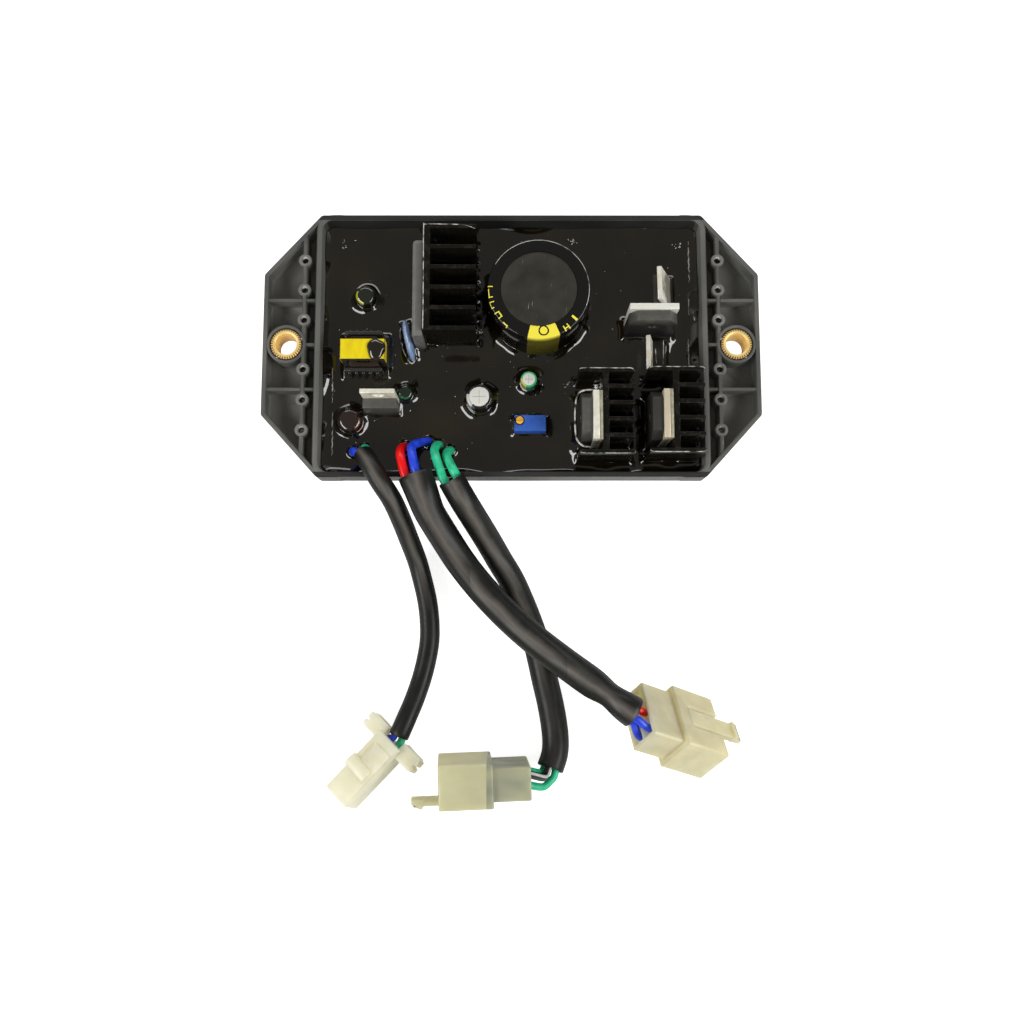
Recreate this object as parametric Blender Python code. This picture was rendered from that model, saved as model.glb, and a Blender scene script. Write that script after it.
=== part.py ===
"""Automatic voltage regulator of a portable generator.

A potted control box with two mounting ears and three leads that end in nylon connectors.
Run with: blender --background --python part.py
Units are metres and +Z is up. The box stands on z = 0 with its middle at the origin, X runs
from ear to ear, and the leads leave the open top on the -Y side.
"""

import math

import bmesh
import bpy
from mathutils import Euler, Matrix, Vector

MM = 0.001

# Clearances between separate pieces
seat_gap = 0.3 * MM
mould_gap = 0.05 * MM

# Case: one moulded tray with an ear at each end
case_length = 149.0 * MM
case_width = 80.6 * MM
case_height = 18.0 * MM
ear_length = 15.7 * MM
tray_length = case_length - 2 * ear_length
tray_width = 80.4 * MM
tray_wall = 1.5 * MM
tray_floor = 2.0 * MM
tray_corner = 4.5 * MM
tray_draft = 1.4 * MM
tray_edge = 1.2 * MM
ear_drop = 0.2 * MM
ear_thickness = 8.0 * MM
ear_floor = 2.0 * MM
ear_rim = 1.3 * MM
ear_root = case_length / 2 - 16.9 * MM
ear_straight = 43.2 * MM
ear_corner = 1.5 * MM
rib_thickness = 1.2 * MM
rib_drop = 0.3 * MM
cross_rib_thickness = 0.9 * MM
cross_rib_spacing = 27.4 * MM
boss_line = case_length / 2 - 12.1 * MM
boss_positions = (7.6 * MM, 16.9 * MM, 26.1 * MM)
boss_radius = 2.0 * MM
boss_bore = 1.05 * MM

# Bushes: knurled brass, pressed into the ears
hole_inset = 7.0 * MM
hole_spacing = case_length - 2 * hole_inset
bush_radius = 4.7 * MM
bush_bore = 3.1 * MM
bush_teeth = 28
bush_tooth_depth = 0.25 * MM
bush_seat_wall = 0.85 * MM

# Circuit board on standoffs, and the resin that covers it
standoff_height = 3.0 * MM
standoff_radius = 3.0 * MM
board_length = tray_length - 10.6 * MM
board_width = tray_width - 9.4 * MM
standoff_spacing = (board_length - 9.0 * MM, board_width - 7.0 * MM)
board_thickness = 1.6 * MM
board_corner = 2.0 * MM
resin_top = 11.5 * MM

# Heat sinks: aluminium extrusions that stand on end
left_sink_height = 21.8 * MM
left_sink_web = 2.0 * MM
left_sink_fin = 1.2 * MM
left_sink_fins = 6
left_sink_pitch = 6.12 * MM
left_sink_reach = 13.4 * MM
left_sink_corner = (-25.7 * MM, 1.0 * MM)
small_sink_height = 21.8 * MM
small_sink_web = 1.8 * MM
small_sink_fin = 1.2 * MM
small_sink_fins = 6
small_sink_pitch = 4.76 * MM
small_sink_reach = 7.4 * MM
small_sink_flange = 6.8 * MM
middle_sink_corner = (26.2 * MM, -35.2 * MM)
right_sink_corner = (46.4 * MM, -34.8 * MM)

# Main reservoir capacitor
main_cap_centre = (8.0 * MM, 13.0 * MM)
main_cap_radius = 15.0 * MM
main_cap_height = 22.8 * MM
main_cap_face = 11.2 * MM
main_cap_shoulder = 1.6 * MM
main_cap_recess = 0.5 * MM

# Small can capacitors: name, centre, diameter and height above the board
small_caps = (
    ("capacitor_upper_left", (-44.2 * MM, 15.5 * MM), 6.3 * MM, 9.8 * MM),
    ("capacitor_by_regulator", (-31.9 * MM, -14.1 * MM), 4.7 * MM, 8.3 * MM),
    ("capacitor_lower_left", (-48.5 * MM, -22.6 * MM), 7.6 * MM, 8.6 * MM),
    ("capacitor_silver", (-9.5 * MM, -16.5 * MM), 7.8 * MM, 12.6 * MM),
    ("capacitor_green", (5.2 * MM, -10.8 * MM), 5.0 * MM, 10.8 * MM),
)

# Bridge rectifier and blue disc beside the left heat sink
bridge_size = (3.0 * MM, 29.4 * MM, 18.8 * MM)
bridge_front = -0.2 * MM
bridge_lift = 1.2 * MM
bridge_bevel = 0.8 * MM
disc_centre = (-31.1 * MM, 2.2 * MM)
disc_radius = 6.5 * MM
disc_thickness = 2.6 * MM
disc_turn = math.radians(12.0)

# Small transformer: two E halves, a bobbin and its winding
core_centre = (-44.0 * MM, -2.7 * MM)
core_size = (13.2 * MM, 6.0 * MM, 13.0 * MM)
core_leg = 2.9 * MM
core_side_leg = 1.9 * MM
core_yoke = 2.3 * MM
bobbin_size = (11.5 * MM, 12.2 * MM)
bobbin_base = 1.6 * MM
bobbin_cheek = 1.1 * MM
bobbin_height = 12.6 * MM
bobbin_ribs = 5

# Multi-turn trimmer
trimmer_centre = (5.6 * MM, -23.9 * MM)
trimmer_size = (9.5 * MM, 4.9 * MM, 10.1 * MM)
trimmer_screw_radius = 1.15 * MM
trimmer_screw_inset = 1.25 * MM
trimmer_screw_slot = 0.5 * MM

# Power packages: the small kind has its hole above the epoxy, the large kind through it
small_package = {
    "width": 10.1 * MM,
    "tab": 1.3 * MM,
    "body": 3.2 * MM,
    "height": 15.6 * MM,
    "step": 6.4 * MM,
    "hole": 1.9 * MM,
    "hole_drop": 2.9 * MM,
    "lead_pitch": 2.54 * MM,
    "lead": (0.8 * MM, 0.5 * MM),
    "shoulder": (0.0, 0.4 * MM),
}
large_package = {
    "width": 14.2 * MM,
    "tab": 1.8 * MM,
    "body": 3.4 * MM,
    "height": 20.0 * MM,
    "step": 0.8 * MM,
    "hole": 1.6 * MM,
    "hole_drop": 6.0 * MM,
    "lead_pitch": 5.4 * MM,
    "lead": (1.1 * MM, 0.6 * MM),
    "shoulder": (2.4 * MM, 3.3 * MM),
}
# Where each package's back edge stands: plan, height above the board, turn and lean
regulator_place = (-38.8 * MM, -15.9 * MM)
regulator_stand = 4.5 * MM
thyristor_place = (41.4 * MM, 8.6 * MM)
thyristor_stand = 3.1 * MM
upper_transistor_place = (50.2 * MM, 17.2 * MM)
upper_transistor_stand = 2.2 * MM
upper_transistor_turn = math.radians(-89.0)
upper_transistor_lean = math.radians(21.5)
lower_transistor_place = (43.3 * MM, -4.0 * MM)
lower_transistor_stand = 1.6 * MM
lower_transistor_turn = math.radians(90.0)
lower_transistor_lean = math.radians(-14.0)
sink_transistor_stand = 3.1 * MM
sink_transistor_shift = -1.35 * MM
pad_thickness = 0.9 * MM
pad_lift = 1.0 * MM
pad_drop = 0.3 * MM

# Leads: black sleeves over insulated wires
wire_radius = 1.35 * MM
end_wire_radius = 1.15 * MM
wire_step = 1.8 * MM
end_wire_step = 1.2 * MM
end_gap = 0.8 * MM
sleeve_step = 3.6 * MM
left_sleeve_radius = 3.0 * MM
middle_sleeve_radius = 4.5 * MM
right_sleeve_radius = 4.0 * MM

# Each sleeve: its radius and its middle line from the box to its connector, in millimetres
sleeves = {
    "sleeve_left": (left_sleeve_radius, (
        (-43.6, -33.6, 17.6), (-41.0, -37.4, 21.4), (-38.1, -42.2, 22.3), (-34.9, -47.2, 19.6),
        (-32.6, -52.6, 14.8), (-30.7, -58.1, 9.6), (-28.7, -63.9, 5.4), (-27.1, -69.9, 3.5),
        (-25.7, -75.9, 3.1), (-24.9, -82.0, 3.1), (-24.8, -88.0, 3.1), (-25.7, -94.0, 3.1),
        (-27.2, -100.0, 3.2), (-29.2, -106.0, 4.2), (-30.7, -109.8, 5.4), (-32.2, -113.4, 6.1),
        (-33.5, -116.4, 6.3),
    )),
    "sleeve_middle": (middle_sleeve_radius, (
        (-27.9, -40.2, 23.2), (-26.1, -44.9, 22.9), (-24.1, -50.4, 20.5), (-22.3, -53.6, 18.8),
        (-19.1, -58.7, 15.8), (-15.4, -64.4, 13.4), (-10.9, -70.3, 12.1), (-5.7, -76.2, 11.9),
        (0.2, -82.1, 12.3), (7.0, -88.0, 13.1), (14.4, -93.7, 15.0), (21.4, -98.8, 19.3),
        (26.9, -102.7, 24.2), (30.7, -105.6, 26.7), (34.1, -107.9, 26.5),
    )),
    "sleeve_right": (right_sleeve_radius, (
        (-17.5, -41.6, 22.5), (-14.1, -47.4, 20.5), (-10.6, -52.8, 15.9), (-7.1, -58.2, 10.7),
        (-3.6, -64.0, 6.6), (0.0, -69.9, 4.6), (2.8, -76.0, 4.1), (5.2, -82.0, 4.1),
        (7.3, -88.0, 4.1), (8.8, -94.0, 4.1), (10.1, -100.0, 4.1), (11.5, -105.9, 4.1),
        (12.6, -111.8, 4.1), (13.2, -117.4, 4.2), (12.9, -121.7, 4.7), (11.5, -125.8, 5.5),
    )),
}

# Wires between the resin and a sleeve: where each sits in the sleeve's mouth, aside and above, then
# its own middle line from the resin, all in millimetres
box_wires = (
    ("wire_blue_left", "blue", "sleeve_left", (-1.4, 0.0), (
        (-47.6, -31.8, 8.5), (-47.6, -31.8, 11.5), (-47.4, -31.9, 13.6), (-46.6, -32.3, 15.5))),
    ("wire_green_left", "green", "sleeve_left", (1.4, 0.0), (
        (-44.2, -30.9, 8.5), (-44.2, -30.9, 11.5), (-43.9, -31.0, 14.0))),
    ("wire_red_middle", "red", "sleeve_middle", (-2.7, 0.0), (
        (-31.9, -30.2, 8.5), (-31.9, -30.2, 12.0), (-32.3, -31.2, 16.5), (-32.5, -33.2, 20.4),
        (-32.1, -35.6, 22.5))),
    ("wire_blue_middle", "blue", "sleeve_middle", (0.6, 0.0), (
        (-24.8, -28.7, 8.5), (-24.8, -28.7, 11.5), (-25.4, -29.0, 14.0), (-27.8, -30.0, 16.6),
        (-29.3, -31.5, 19.3), (-28.9, -34.3, 22.0))),
    ("wire_green_inner", "green", "sleeve_right", (-1.9, 0.0), (
        (-21.6, -29.8, 8.5), (-21.6, -29.8, 11.5), (-22.2, -30.2, 14.6), (-22.7, -32.4, 18.4),
        (-21.9, -35.4, 21.2))),
    ("wire_green_outer", "green", "sleeve_right", (1.9, 0.0), (
        (-18.2, -31.4, 8.5), (-18.2, -31.4, 11.5), (-18.7, -31.9, 14.6), (-19.1, -33.6, 18.0),
        (-18.4, -35.9, 20.7))),
)

# Nylon connectors: the wide kind has a rear block, a hood and a latch arm
rear_block = (17.4 * MM, 9.6 * MM)
rear_length = 10.8 * MM
hood_block = (20.2 * MM, 12.8 * MM)
hood_length = 15.6 * MM
hood_wall = 1.3 * MM
hood_depth = 12.0 * MM
latch_width = 5.2 * MM
latch_thickness = 2.0 * MM
latch_reach = 8.0 * MM
latch_head = 3.4 * MM
latch_hook = 0.9 * MM
latch_slot = 0.9 * MM
wire_cell = (4.4 * MM, 3.3 * MM)
wire_cell_depth = 5.0 * MM
wire_pitch = 5.2 * MM
wire_row = 4.1 * MM
connector_edge = 0.5 * MM
right_connector = ((5.2, -127.8, 10.6), (-93.5, -3.4, 181.9))
middle_connector = ((35.5, -109.0, 23.2), (-47.7, 30.1, -19.4))

# The narrow connector has two wings at its wire end and a collar across its top
narrow_size = (24.6 * MM, 8.8 * MM, 9.9 * MM)
narrow_connector = ((-33.3, -116.3, 6.15), (17.6, -1.2, -133.5))
narrow_slot = (7.2 * MM, 3.5 * MM)
narrow_start = 2.3 * MM
narrow_mouth = (6.4 * MM, 5.4 * MM)
narrow_mouth_depth = 9.0 * MM
wing_reach = 10.8 * MM
wing_length = 5.0 * MM
wing_height = 4.6 * MM
wing_notch = 1.1 * MM
collar_start = 11.8 * MM
collar_length = 4.6 * MM
collar_rise = 1.4 * MM
pad_rise = 0.5 * MM

# Wires between a sleeve and its connector: place in the sleeve's end, aside and above, and how far
# ahead of it they still run straight, then points on the way, and the cell in the connector's wire
# face, all in millimetres
end_wires = (
    ("wire_blue_left_end", "blue", "sleeve_left", (1.3, 0.0, 0.4), (), "connector_left", (-1.9, 0.0)),
    ("wire_green_left_end", "green", "sleeve_left", (-1.3, 0.0, 0.4), (), "connector_left", (1.9, 0.0)),
    ("wire_red_middle_end", "red", "sleeve_middle", (-1.5, -1.1, 0.8), (), "connector_middle", (0.0, 2.05)),
    ("wire_blue_middle_end", "blue", "sleeve_middle", (1.0, 2.3, 0.8), (), "connector_middle", (-5.2, 2.05)),
    ("wire_blue_lower_end", "blue", "sleeve_middle", (2.4, -0.1, 0.8), (), "connector_middle", (-5.2, -2.05)),
    ("wire_green_upper_end", "green", "sleeve_right", (1.7, -1.0, 1.0), ((7.9, -126.8, 7.4),),
        "connector_right", (0.0, -2.05)),
    ("wire_black_end", "black", "sleeve_right", (0.8, 2.2, 1.4), ((9.1, -127.7, 10.8),),
        "connector_right", (-5.2, -2.05)),
    ("wire_green_lower_end", "green", "sleeve_right", (-1.8, 0.2, 1.4),
        ((11.3, -129.5, 6.6), (9.2, -130.8, 8.0)), "connector_right", (0.0, 2.05)),
)


def clear_scene():
    """Remove whatever the file holds."""
    for old in list(bpy.data.objects):
        bpy.data.objects.remove(old, do_unlink=True)


def make_material(name, colour, roughness, metallic=0.0):
    """A plain finish of one colour."""
    finish = bpy.data.materials.new(name)
    finish.use_nodes = True
    shader = finish.node_tree.nodes["Principled BSDF"]
    shader.inputs["Base Color"].default_value = (*colour, 1.0)
    shader.inputs["Roughness"].default_value = roughness
    shader.inputs["Metallic"].default_value = metallic
    return finish


def make_object(name, bm, finish=None, smooth=math.radians(35.0)):
    """Turn a bmesh into a named object; one with no finish is a tool for cutting or joining."""
    bmesh.ops.recalc_face_normals(bm, faces=bm.faces)
    mesh = bpy.data.meshes.new(name)
    bm.to_mesh(mesh)
    bm.free()
    made = bpy.data.objects.new(name, mesh)
    bpy.context.scene.collection.objects.link(made)
    if finish is None:
        made.hide_render = True
        made.display_type = "WIRE"
        return made
    mesh.materials.append(finish)
    mesh.shade_smooth()
    mesh.set_sharp_from_angle(angle=smooth)
    return made


def combine(target, tool, operation):
    """Join a tool to the target or cut it out, and remove the tool."""
    modifier = target.modifiers.new(tool.name, "BOOLEAN")
    modifier.operation = operation
    modifier.object = tool
    bpy.context.view_layer.update()
    depsgraph = bpy.context.evaluated_depsgraph_get()
    result = bpy.data.meshes.new_from_object(target.evaluated_get(depsgraph))
    target.modifiers.clear()
    target.data = result
    bpy.data.objects.remove(tool, do_unlink=True)


def circle(centre, radius, steps):
    """Points round a circle, counter-clockwise."""
    angles = [2.0 * math.pi * step / steps for step in range(steps)]
    return [(centre[0] + radius * math.cos(a), centre[1] + radius * math.sin(a)) for a in angles]


def rectangle(x0, y0, x1, y1):
    """Corners of an upright rectangle, counter-clockwise."""
    return [(x0, y0), (x1, y0), (x1, y1), (x0, y1)]


def centred(centre, length, width):
    """Corners of a rectangle about its middle."""
    x, y = centre
    return rectangle(x - length / 2, y - width / 2, x + length / 2, y + width / 2)


def rounded(points, radius, steps=5):
    """Round each corner of a convex outline with an arc."""
    outline = []
    count = len(points)
    for index, point in enumerate(points):
        corner = Vector(point)
        before = (Vector(points[index - 1]) - corner).normalized()
        after = (Vector(points[(index + 1) % count]) - corner).normalized()
        half = before.angle(after) / 2
        middle = corner + (before + after).normalized() * (radius / math.sin(half))
        start = corner + before * (radius / math.tan(half)) - middle
        sweep = math.pi - 2 * half
        for step in range(steps + 1):
            turn = sweep * step / steps
            spoke = Vector((
                start.x * math.cos(turn) - start.y * math.sin(turn),
                start.x * math.sin(turn) + start.y * math.cos(turn),
            ))
            outline.append(tuple(middle + spoke))
    return outline


def loft(bm, rings):
    """Skin a row of rings that have the same number of points, and close both ends."""
    rows = [[bm.verts.new(point) for point in ring] for ring in rings]
    count = len(rows[0])
    for lower, upper in zip(rows, rows[1:]):
        for index in range(count):
            after = (index + 1) % count
            bm.faces.new((lower[index], lower[after], upper[after], upper[index]))
    bm.faces.new(list(reversed(rows[0])))
    bm.faces.new(rows[-1])


def level(outline, z):
    """Lift a flat outline to a height."""
    return [(x, y, z) for x, y in outline]


def prism(bm, outline, z0, z1):
    """A straight extrusion between two heights."""
    loft(bm, [level(outline, z0), level(outline, z1)])


def revolve(bm, centre, profile, steps):
    """Turn a profile of (radius, height) pairs about an upright axis."""
    loft(bm, [level(circle(centre, radius, steps), z) for radius, z in profile])


def place(bm, matrix):
    """Move a bmesh from its own frame to its place."""
    bmesh.ops.transform(bm, matrix=matrix, verts=bm.verts)


def tool_prism(name, outline, z0, z1):
    """A prism used to cut or to join."""
    bm = bmesh.new()
    prism(bm, outline, z0, z1)
    return make_object(name, bm)


def metres(points):
    """Points that are written in millimetres."""
    return [Vector(point) * MM for point in points]


def off_end(route, ahead, spot):
    """A point off the last end of a sleeve: ahead of it, and aside and above its middle in millimetres."""
    forward = (route[-1] - route[-2]).normalized()
    right = forward.cross(Vector((0.0, 0.0, 1.0))).normalized()
    above = right.cross(forward)
    return route[-1] + forward * ahead + right * spot[0] * MM + above * spot[1] * MM


def smooth_route(points, spacing):
    """Points every so often along a smooth curve through the given ones."""
    knots = [points[0] * 2 - points[1]] + list(points) + [points[-1] * 2 - points[-2]]
    fine = []
    samples = 24
    for index in range(1, len(knots) - 2):
        a, b, c, d = knots[index - 1:index + 3]
        for sample in range(samples):
            t = sample / samples
            fine.append(0.5 * (
                2 * b + (c - a) * t + (2 * a - 5 * b + 4 * c - d) * t ** 2 + (3 * b - a - 3 * c + d) * t ** 3
            ))
    fine.append(knots[-2])
    total = sum((after - before).length for before, after in zip(fine, fine[1:]))
    count = max(4, round(total / spacing))
    route = [fine[0]]
    travelled = 0.0
    for before, after in zip(fine, fine[1:]):
        step = (after - before).length
        while len(route) < count and travelled + step >= total * len(route) / count:
            share = (total * len(route) / count - travelled) / step
            route.append(before.lerp(after, share))
        travelled += step
    route.append(fine[-1])
    return route


def tube(name, route, radius, finish, sides):
    """A round cord along a route, closed at both ends."""
    curve = bpy.data.curves.new(name, "CURVE")
    curve.dimensions = "3D"
    curve.bevel_depth = radius
    curve.bevel_resolution = sides
    curve.use_fill_caps = True
    spline = curve.splines.new("POLY")
    spline.points.add(len(route) - 1)
    for point, spot in zip(spline.points, route):
        point.co = (*spot, 1.0)
    curve.materials.append(finish)
    made = bpy.data.objects.new(name, curve)
    bpy.context.scene.collection.objects.link(made)
    return made


# Heights that follow from the sizes above
board_bottom = tray_floor + standoff_height + seat_gap
board_top = board_bottom + board_thickness
component_base = board_top + seat_gap
ear_top = case_height - ear_drop
ear_bottom = ear_top - ear_thickness
pocket_floor = ear_bottom + ear_floor
rib_top = ear_top - rib_drop


def tray_outline(z, inset):
    """The tray's outline at a height: it narrows towards the floor by the draft."""
    draw = tray_draft * (case_height - z) / case_height + inset
    corners = centred((0.0, 0.0), tray_length - 2 * draw, tray_width - 2 * draw)
    return rounded(corners, tray_corner - min(inset, tray_corner / 2), 6)


def ear_points(side, inset):
    """The ear plate's corners for the right (1) or left (-1) side, drawn in by an inset."""
    tip = case_length / 2 - inset
    half = case_width / 2 - inset
    slope = math.atan2((case_width - ear_straight) / 2, case_length / 2 - ear_root)
    shift = inset * math.tan(slope / 2)
    root_x = ear_root - shift
    straight = ear_straight / 2 - inset * math.tan((math.pi / 2 - slope) / 2)
    inner = tray_length / 2 - 2 * tray_corner
    points = [(inner, -half), (root_x, -half), (tip, -straight), (tip, straight), (root_x, half), (inner, half)]
    if side < 0:
        points = [(-x, y) for x, y in reversed(points)]
    return points


def ear_reach(x, inset):
    """Half the ear's width at a distance from the middle, on its slanted edge."""
    corners = ear_points(1, inset)
    (x0, y0), (x1, y1) = corners[4], corners[3]
    return y0 + (y1 - y0) * (x - x0) / (x1 - x0)


def make_case(finish):
    """The moulded case: a drafted tray with a pocketed, ribbed ear at each end."""
    bm = bmesh.new()
    loft(bm, [
        level(tray_outline(0.0, tray_edge), 0.0),
        level(tray_outline(tray_edge, 0.0), tray_edge),
        level(tray_outline(case_height, 0.0), case_height),
    ])
    case = make_object("case", bm, finish)
    wall_x = tray_length / 2
    for side in (1, -1):
        outline = rounded(ear_points(side, 0.0), ear_corner)
        combine(case, tool_prism("ear", outline, ear_bottom, ear_top), "UNION")
    bm = bmesh.new()
    loft(bm, [level(tray_outline(z, tray_wall), z) for z in (tray_floor, case_height + 1 * MM)])
    combine(case, make_object("cavity", bm), "DIFFERENCE")
    for side in (1, -1):
        near = ear_reach(wall_x, ear_rim)
        tip, straight = ear_points(1, ear_rim)[3]
        pocket = [(wall_x, -near), (tip, -straight), (tip, straight), (wall_x, near)]
        if side < 0:
            pocket = [(-x, y) for x, y in reversed(pocket)]
        combine(case, tool_prism("pocket", pocket, pocket_floor, case_height + 1 * MM), "DIFFERENCE")
    for side in (1, -1):
        for piece in ear_features(side):
            combine(case, piece, "UNION")
    bm = bmesh.new()
    for side in (1, -1):
        prism(bm, circle((side * hole_spacing / 2, 0.0), bush_radius + seat_gap, 32), 0.0, case_height + 1 * MM)
        for y in boss_positions:
            for end in (1, -1):
                prism(bm, circle((side * boss_line, end * y), boss_bore, 10), 0.0, case_height + 1 * MM)
    combine(case, make_object("bores", bm), "DIFFERENCE")
    for x in (-1, 1):
        for y in (-1, 1):
            centre = (x * standoff_spacing[0] / 2, y * standoff_spacing[1] / 2)
            outline = circle(centre, standoff_radius, 16)
            standoff = tool_prism("standoff", outline, tray_floor / 2, tray_floor + standoff_height)
            combine(case, standoff, "UNION")
    case.data.shade_smooth()
    case.data.set_sharp_from_angle(angle=math.radians(35.0))
    return case


def ear_features(side):
    """What stands in an ear's pocket: the bush seat, the ribs and the screw bosses."""
    root = ear_bottom + ear_floor / 2
    overlap = ear_rim / 2
    pieces = []
    seat = circle((side * hole_spacing / 2, 0.0), bush_radius + seat_gap + bush_seat_wall, 32)
    pieces.append(tool_prism("seat", seat, root, ear_top + rib_drop / 3))
    spine = ear_reach(boss_line, overlap)
    x = side * boss_line
    pieces.append(tool_prism("spine", centred((x, 0.0), rib_thickness, 2 * spine), root, rib_top))
    wall_x = tray_length / 2 - tray_wall / 2
    outer_x = case_length / 2 - overlap
    for y in (cross_rib_spacing / 2, -cross_rib_spacing / 2):
        middle = side * (wall_x + outer_x) / 2
        rib = centred((middle, y), outer_x - wall_x, cross_rib_thickness)
        pieces.append(tool_prism("cross_rib", rib, root, rib_top - rib_drop / 2))
    middle = side * (wall_x + boss_line) / 2
    short = centred((middle, 0.0), boss_line - wall_x, cross_rib_thickness)
    pieces.append(tool_prism("short_rib", short, root, rib_top - rib_drop / 2))
    for y in boss_positions:
        for end in (1, -1):
            boss = circle((x, end * y), boss_radius, 14)
            pieces.append(tool_prism("boss", boss, root, rib_top + rib_drop / 2))
    return pieces


def make_bush(name, side, finish):
    """A knurled brass bush with a plain bore."""
    centre = Vector((side * hole_spacing / 2, 0.0))
    outer = []
    for tooth in range(bush_teeth):
        for share, radius in ((0.0, bush_radius), (0.5, bush_radius - bush_tooth_depth)):
            angle = 2 * math.pi * (tooth + share) / bush_teeth
            outer.append((centre.x + radius * math.cos(angle), centre.y + radius * math.sin(angle)))
    bm = bmesh.new()
    prism(bm, outer, ear_bottom, case_height)
    bush = make_object(name, bm, finish)
    bore = tool_prism("bore", circle(centre, bush_bore, 32), 0.0, case_height + 1 * MM)
    combine(bush, bore, "DIFFERENCE")
    return bush


def sink_outline(corner, web, fin, pitch, reach, flange, grow=0.0):
    """Plan of a heat sink: a web along Y, fins to the right, a flange at each end to the left."""
    x0, y0 = corner
    fins = len(pitch)
    left = x0 - grow
    right = x0 + web + grow
    tip = x0 + web + reach + grow
    outline = []
    for index in range(fins):
        low = y0 + pitch[index] - grow
        high = y0 + pitch[index] + fin + grow
        if index > 0:
            outline.append((right, low))
        outline += [(tip, low), (tip, high)]
        if index < fins - 1:
            outline.append((right, high))
    bottom = y0 - grow
    top = y0 + pitch[-1] + fin + grow
    if flange == 0.0:
        return outline + [(left, top), (left, bottom)]
    far = x0 - flange - grow
    step = fin + 2 * grow
    return outline + [
        (far, top), (far, top - step), (left, top - step),
        (left, bottom + step), (far, bottom + step), (far, bottom),
    ]


def left_sink(grow=0.0):
    """Plan of the tall left heat sink."""
    rows = [index * left_sink_pitch for index in range(left_sink_fins)]
    return sink_outline(left_sink_corner, left_sink_web, left_sink_fin, rows, left_sink_reach, 0.0, grow)


def small_sink(corner, grow=0.0):
    """Plan of the heat sink behind each large transistor."""
    rows = [index * small_sink_pitch for index in range(small_sink_fins)]
    return sink_outline(corner, small_sink_web, small_sink_fin, rows, small_sink_reach, small_sink_flange, grow)


def make_sinks(finish):
    """The three heat sinks."""
    plans = (
        ("heat_sink_left", left_sink(), left_sink_height),
        ("heat_sink_middle", small_sink(middle_sink_corner), small_sink_height),
        ("heat_sink_right", small_sink(right_sink_corner), small_sink_height),
    )
    for name, outline, height in plans:
        bm = bmesh.new()
        prism(bm, outline, component_base, component_base + height)
        make_object(name, bm, finish)


def make_board(finish):
    """The circuit board on its standoffs."""
    bm = bmesh.new()
    prism(bm, rounded(centred((0.0, 0.0), board_length, board_width), board_corner, 3), board_bottom, board_top)
    make_object("circuit_board", bm, finish)


def make_main_capacitor(finish):
    """The large can in its shrink sleeve, with the bare end of the can showing in the top."""
    top = component_base + main_cap_height
    radius = main_cap_radius
    turn = main_cap_shoulder
    profile = [(radius - 0.6 * MM, component_base), (radius, component_base + 0.6 * MM)]
    profile += [(radius, component_base + 2.0 * MM), (radius - 0.8 * MM, component_base + 3.0 * MM)]
    profile += [(radius, component_base + 4.0 * MM)]
    for step in range(4):
        angle = math.pi / 2 * step / 3
        profile.append((radius - turn * (1 - math.cos(angle)), top - turn * (1 - math.sin(angle))))
    profile += [(main_cap_face, top), (main_cap_face - main_cap_recess / 2, top - main_cap_recess)]
    bm = bmesh.new()
    revolve(bm, main_cap_centre, profile, 48)
    make_object("main_capacitor", bm, finish)


def make_small_capacitors(finishes):
    """The small cans: a rolled groove near the seal and a recessed end."""
    for name, centre, diameter, height in small_caps:
        radius = diameter / 2
        top = component_base + height
        profile = [
            (radius * 0.94, component_base),
            (radius, component_base + radius * 0.2),
            (radius, component_base + radius * 0.5),
            (radius * 0.9, component_base + radius * 0.65),
            (radius, component_base + radius * 0.8),
            (radius, top - radius * 0.14),
            (radius * 0.93, top - radius * 0.03),
            (radius * 0.84, top),
            (radius * 0.76, top - radius * 0.08),
        ]
        bm = bmesh.new()
        revolve(bm, centre, profile, 20)
        make_object(name, bm, finishes[name])


def bridge_outline(grow=0.0):
    """Plan of the bridge rectifier against the left heat sink."""
    right = left_sink_corner[0] - seat_gap + grow
    left = left_sink_corner[0] - seat_gap - bridge_size[0] - grow
    return rectangle(left, bridge_front - grow, right, bridge_front + bridge_size[1] + grow)


def make_bridge(finish):
    """The flat bridge rectifier: an epoxy block with a bevelled top corner, on four legs."""
    (left, front), (right, _), (_, back), _ = bridge_outline()
    bottom = component_base + bridge_lift
    top = bottom + bridge_size[2]
    lean = bridge_bevel
    bm = bmesh.new()
    loft(bm, [
        [(left, front, bottom), (right, front, bottom), (right, front, top), (left + lean, front, top),
         (left, front, top - lean)],
        [(left, back - 2 * lean, bottom), (right, back - 2 * lean, bottom), (right, back - 2 * lean, top),
         (left + lean, back - 2 * lean, top), (left, back - 2 * lean, top - lean)],
        [(left, back, bottom), (right, back, bottom), (right, back, top - 2 * lean),
         (left + lean, back, top - 2 * lean), (left, back, top - 3 * lean)],
    ])
    bridge = make_object("bridge_rectifier", bm, finish)
    middle = (left + right) / 2
    bm = bmesh.new()
    for index in range(4):
        y = front + (back - front) * (0.14 + 0.24 * index)
        prism(bm, centred((middle, y), 0.7 * MM, 1.1 * MM), component_base, bottom + 1.0 * MM)
    combine(bridge, make_object("legs", bm), "UNION")


def make_disc(finish):
    """The blue disc that stands on its edge beside the bridge."""
    bm = bmesh.new()
    half = disc_thickness / 2
    revolve(bm, (0.0, 0.0), [
        (disc_radius * 0.8, -half),
        (disc_radius * 0.94, -half * 0.72),
        (disc_radius, 0.0),
        (disc_radius * 0.94, half * 0.72),
        (disc_radius * 0.8, half),
    ], 28)
    place(bm, disc_matrix())
    make_object("disc_varistor", bm, finish)


def disc_matrix():
    """Stand the disc up, turn it a little about the vertical and set it on the board."""
    spot = Vector((*disc_centre, component_base + disc_radius))
    return Matrix.Translation(spot) @ Matrix.Rotation(disc_turn, 4, "Z") @ Matrix.Rotation(math.pi / 2, 4, "Y")


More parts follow.
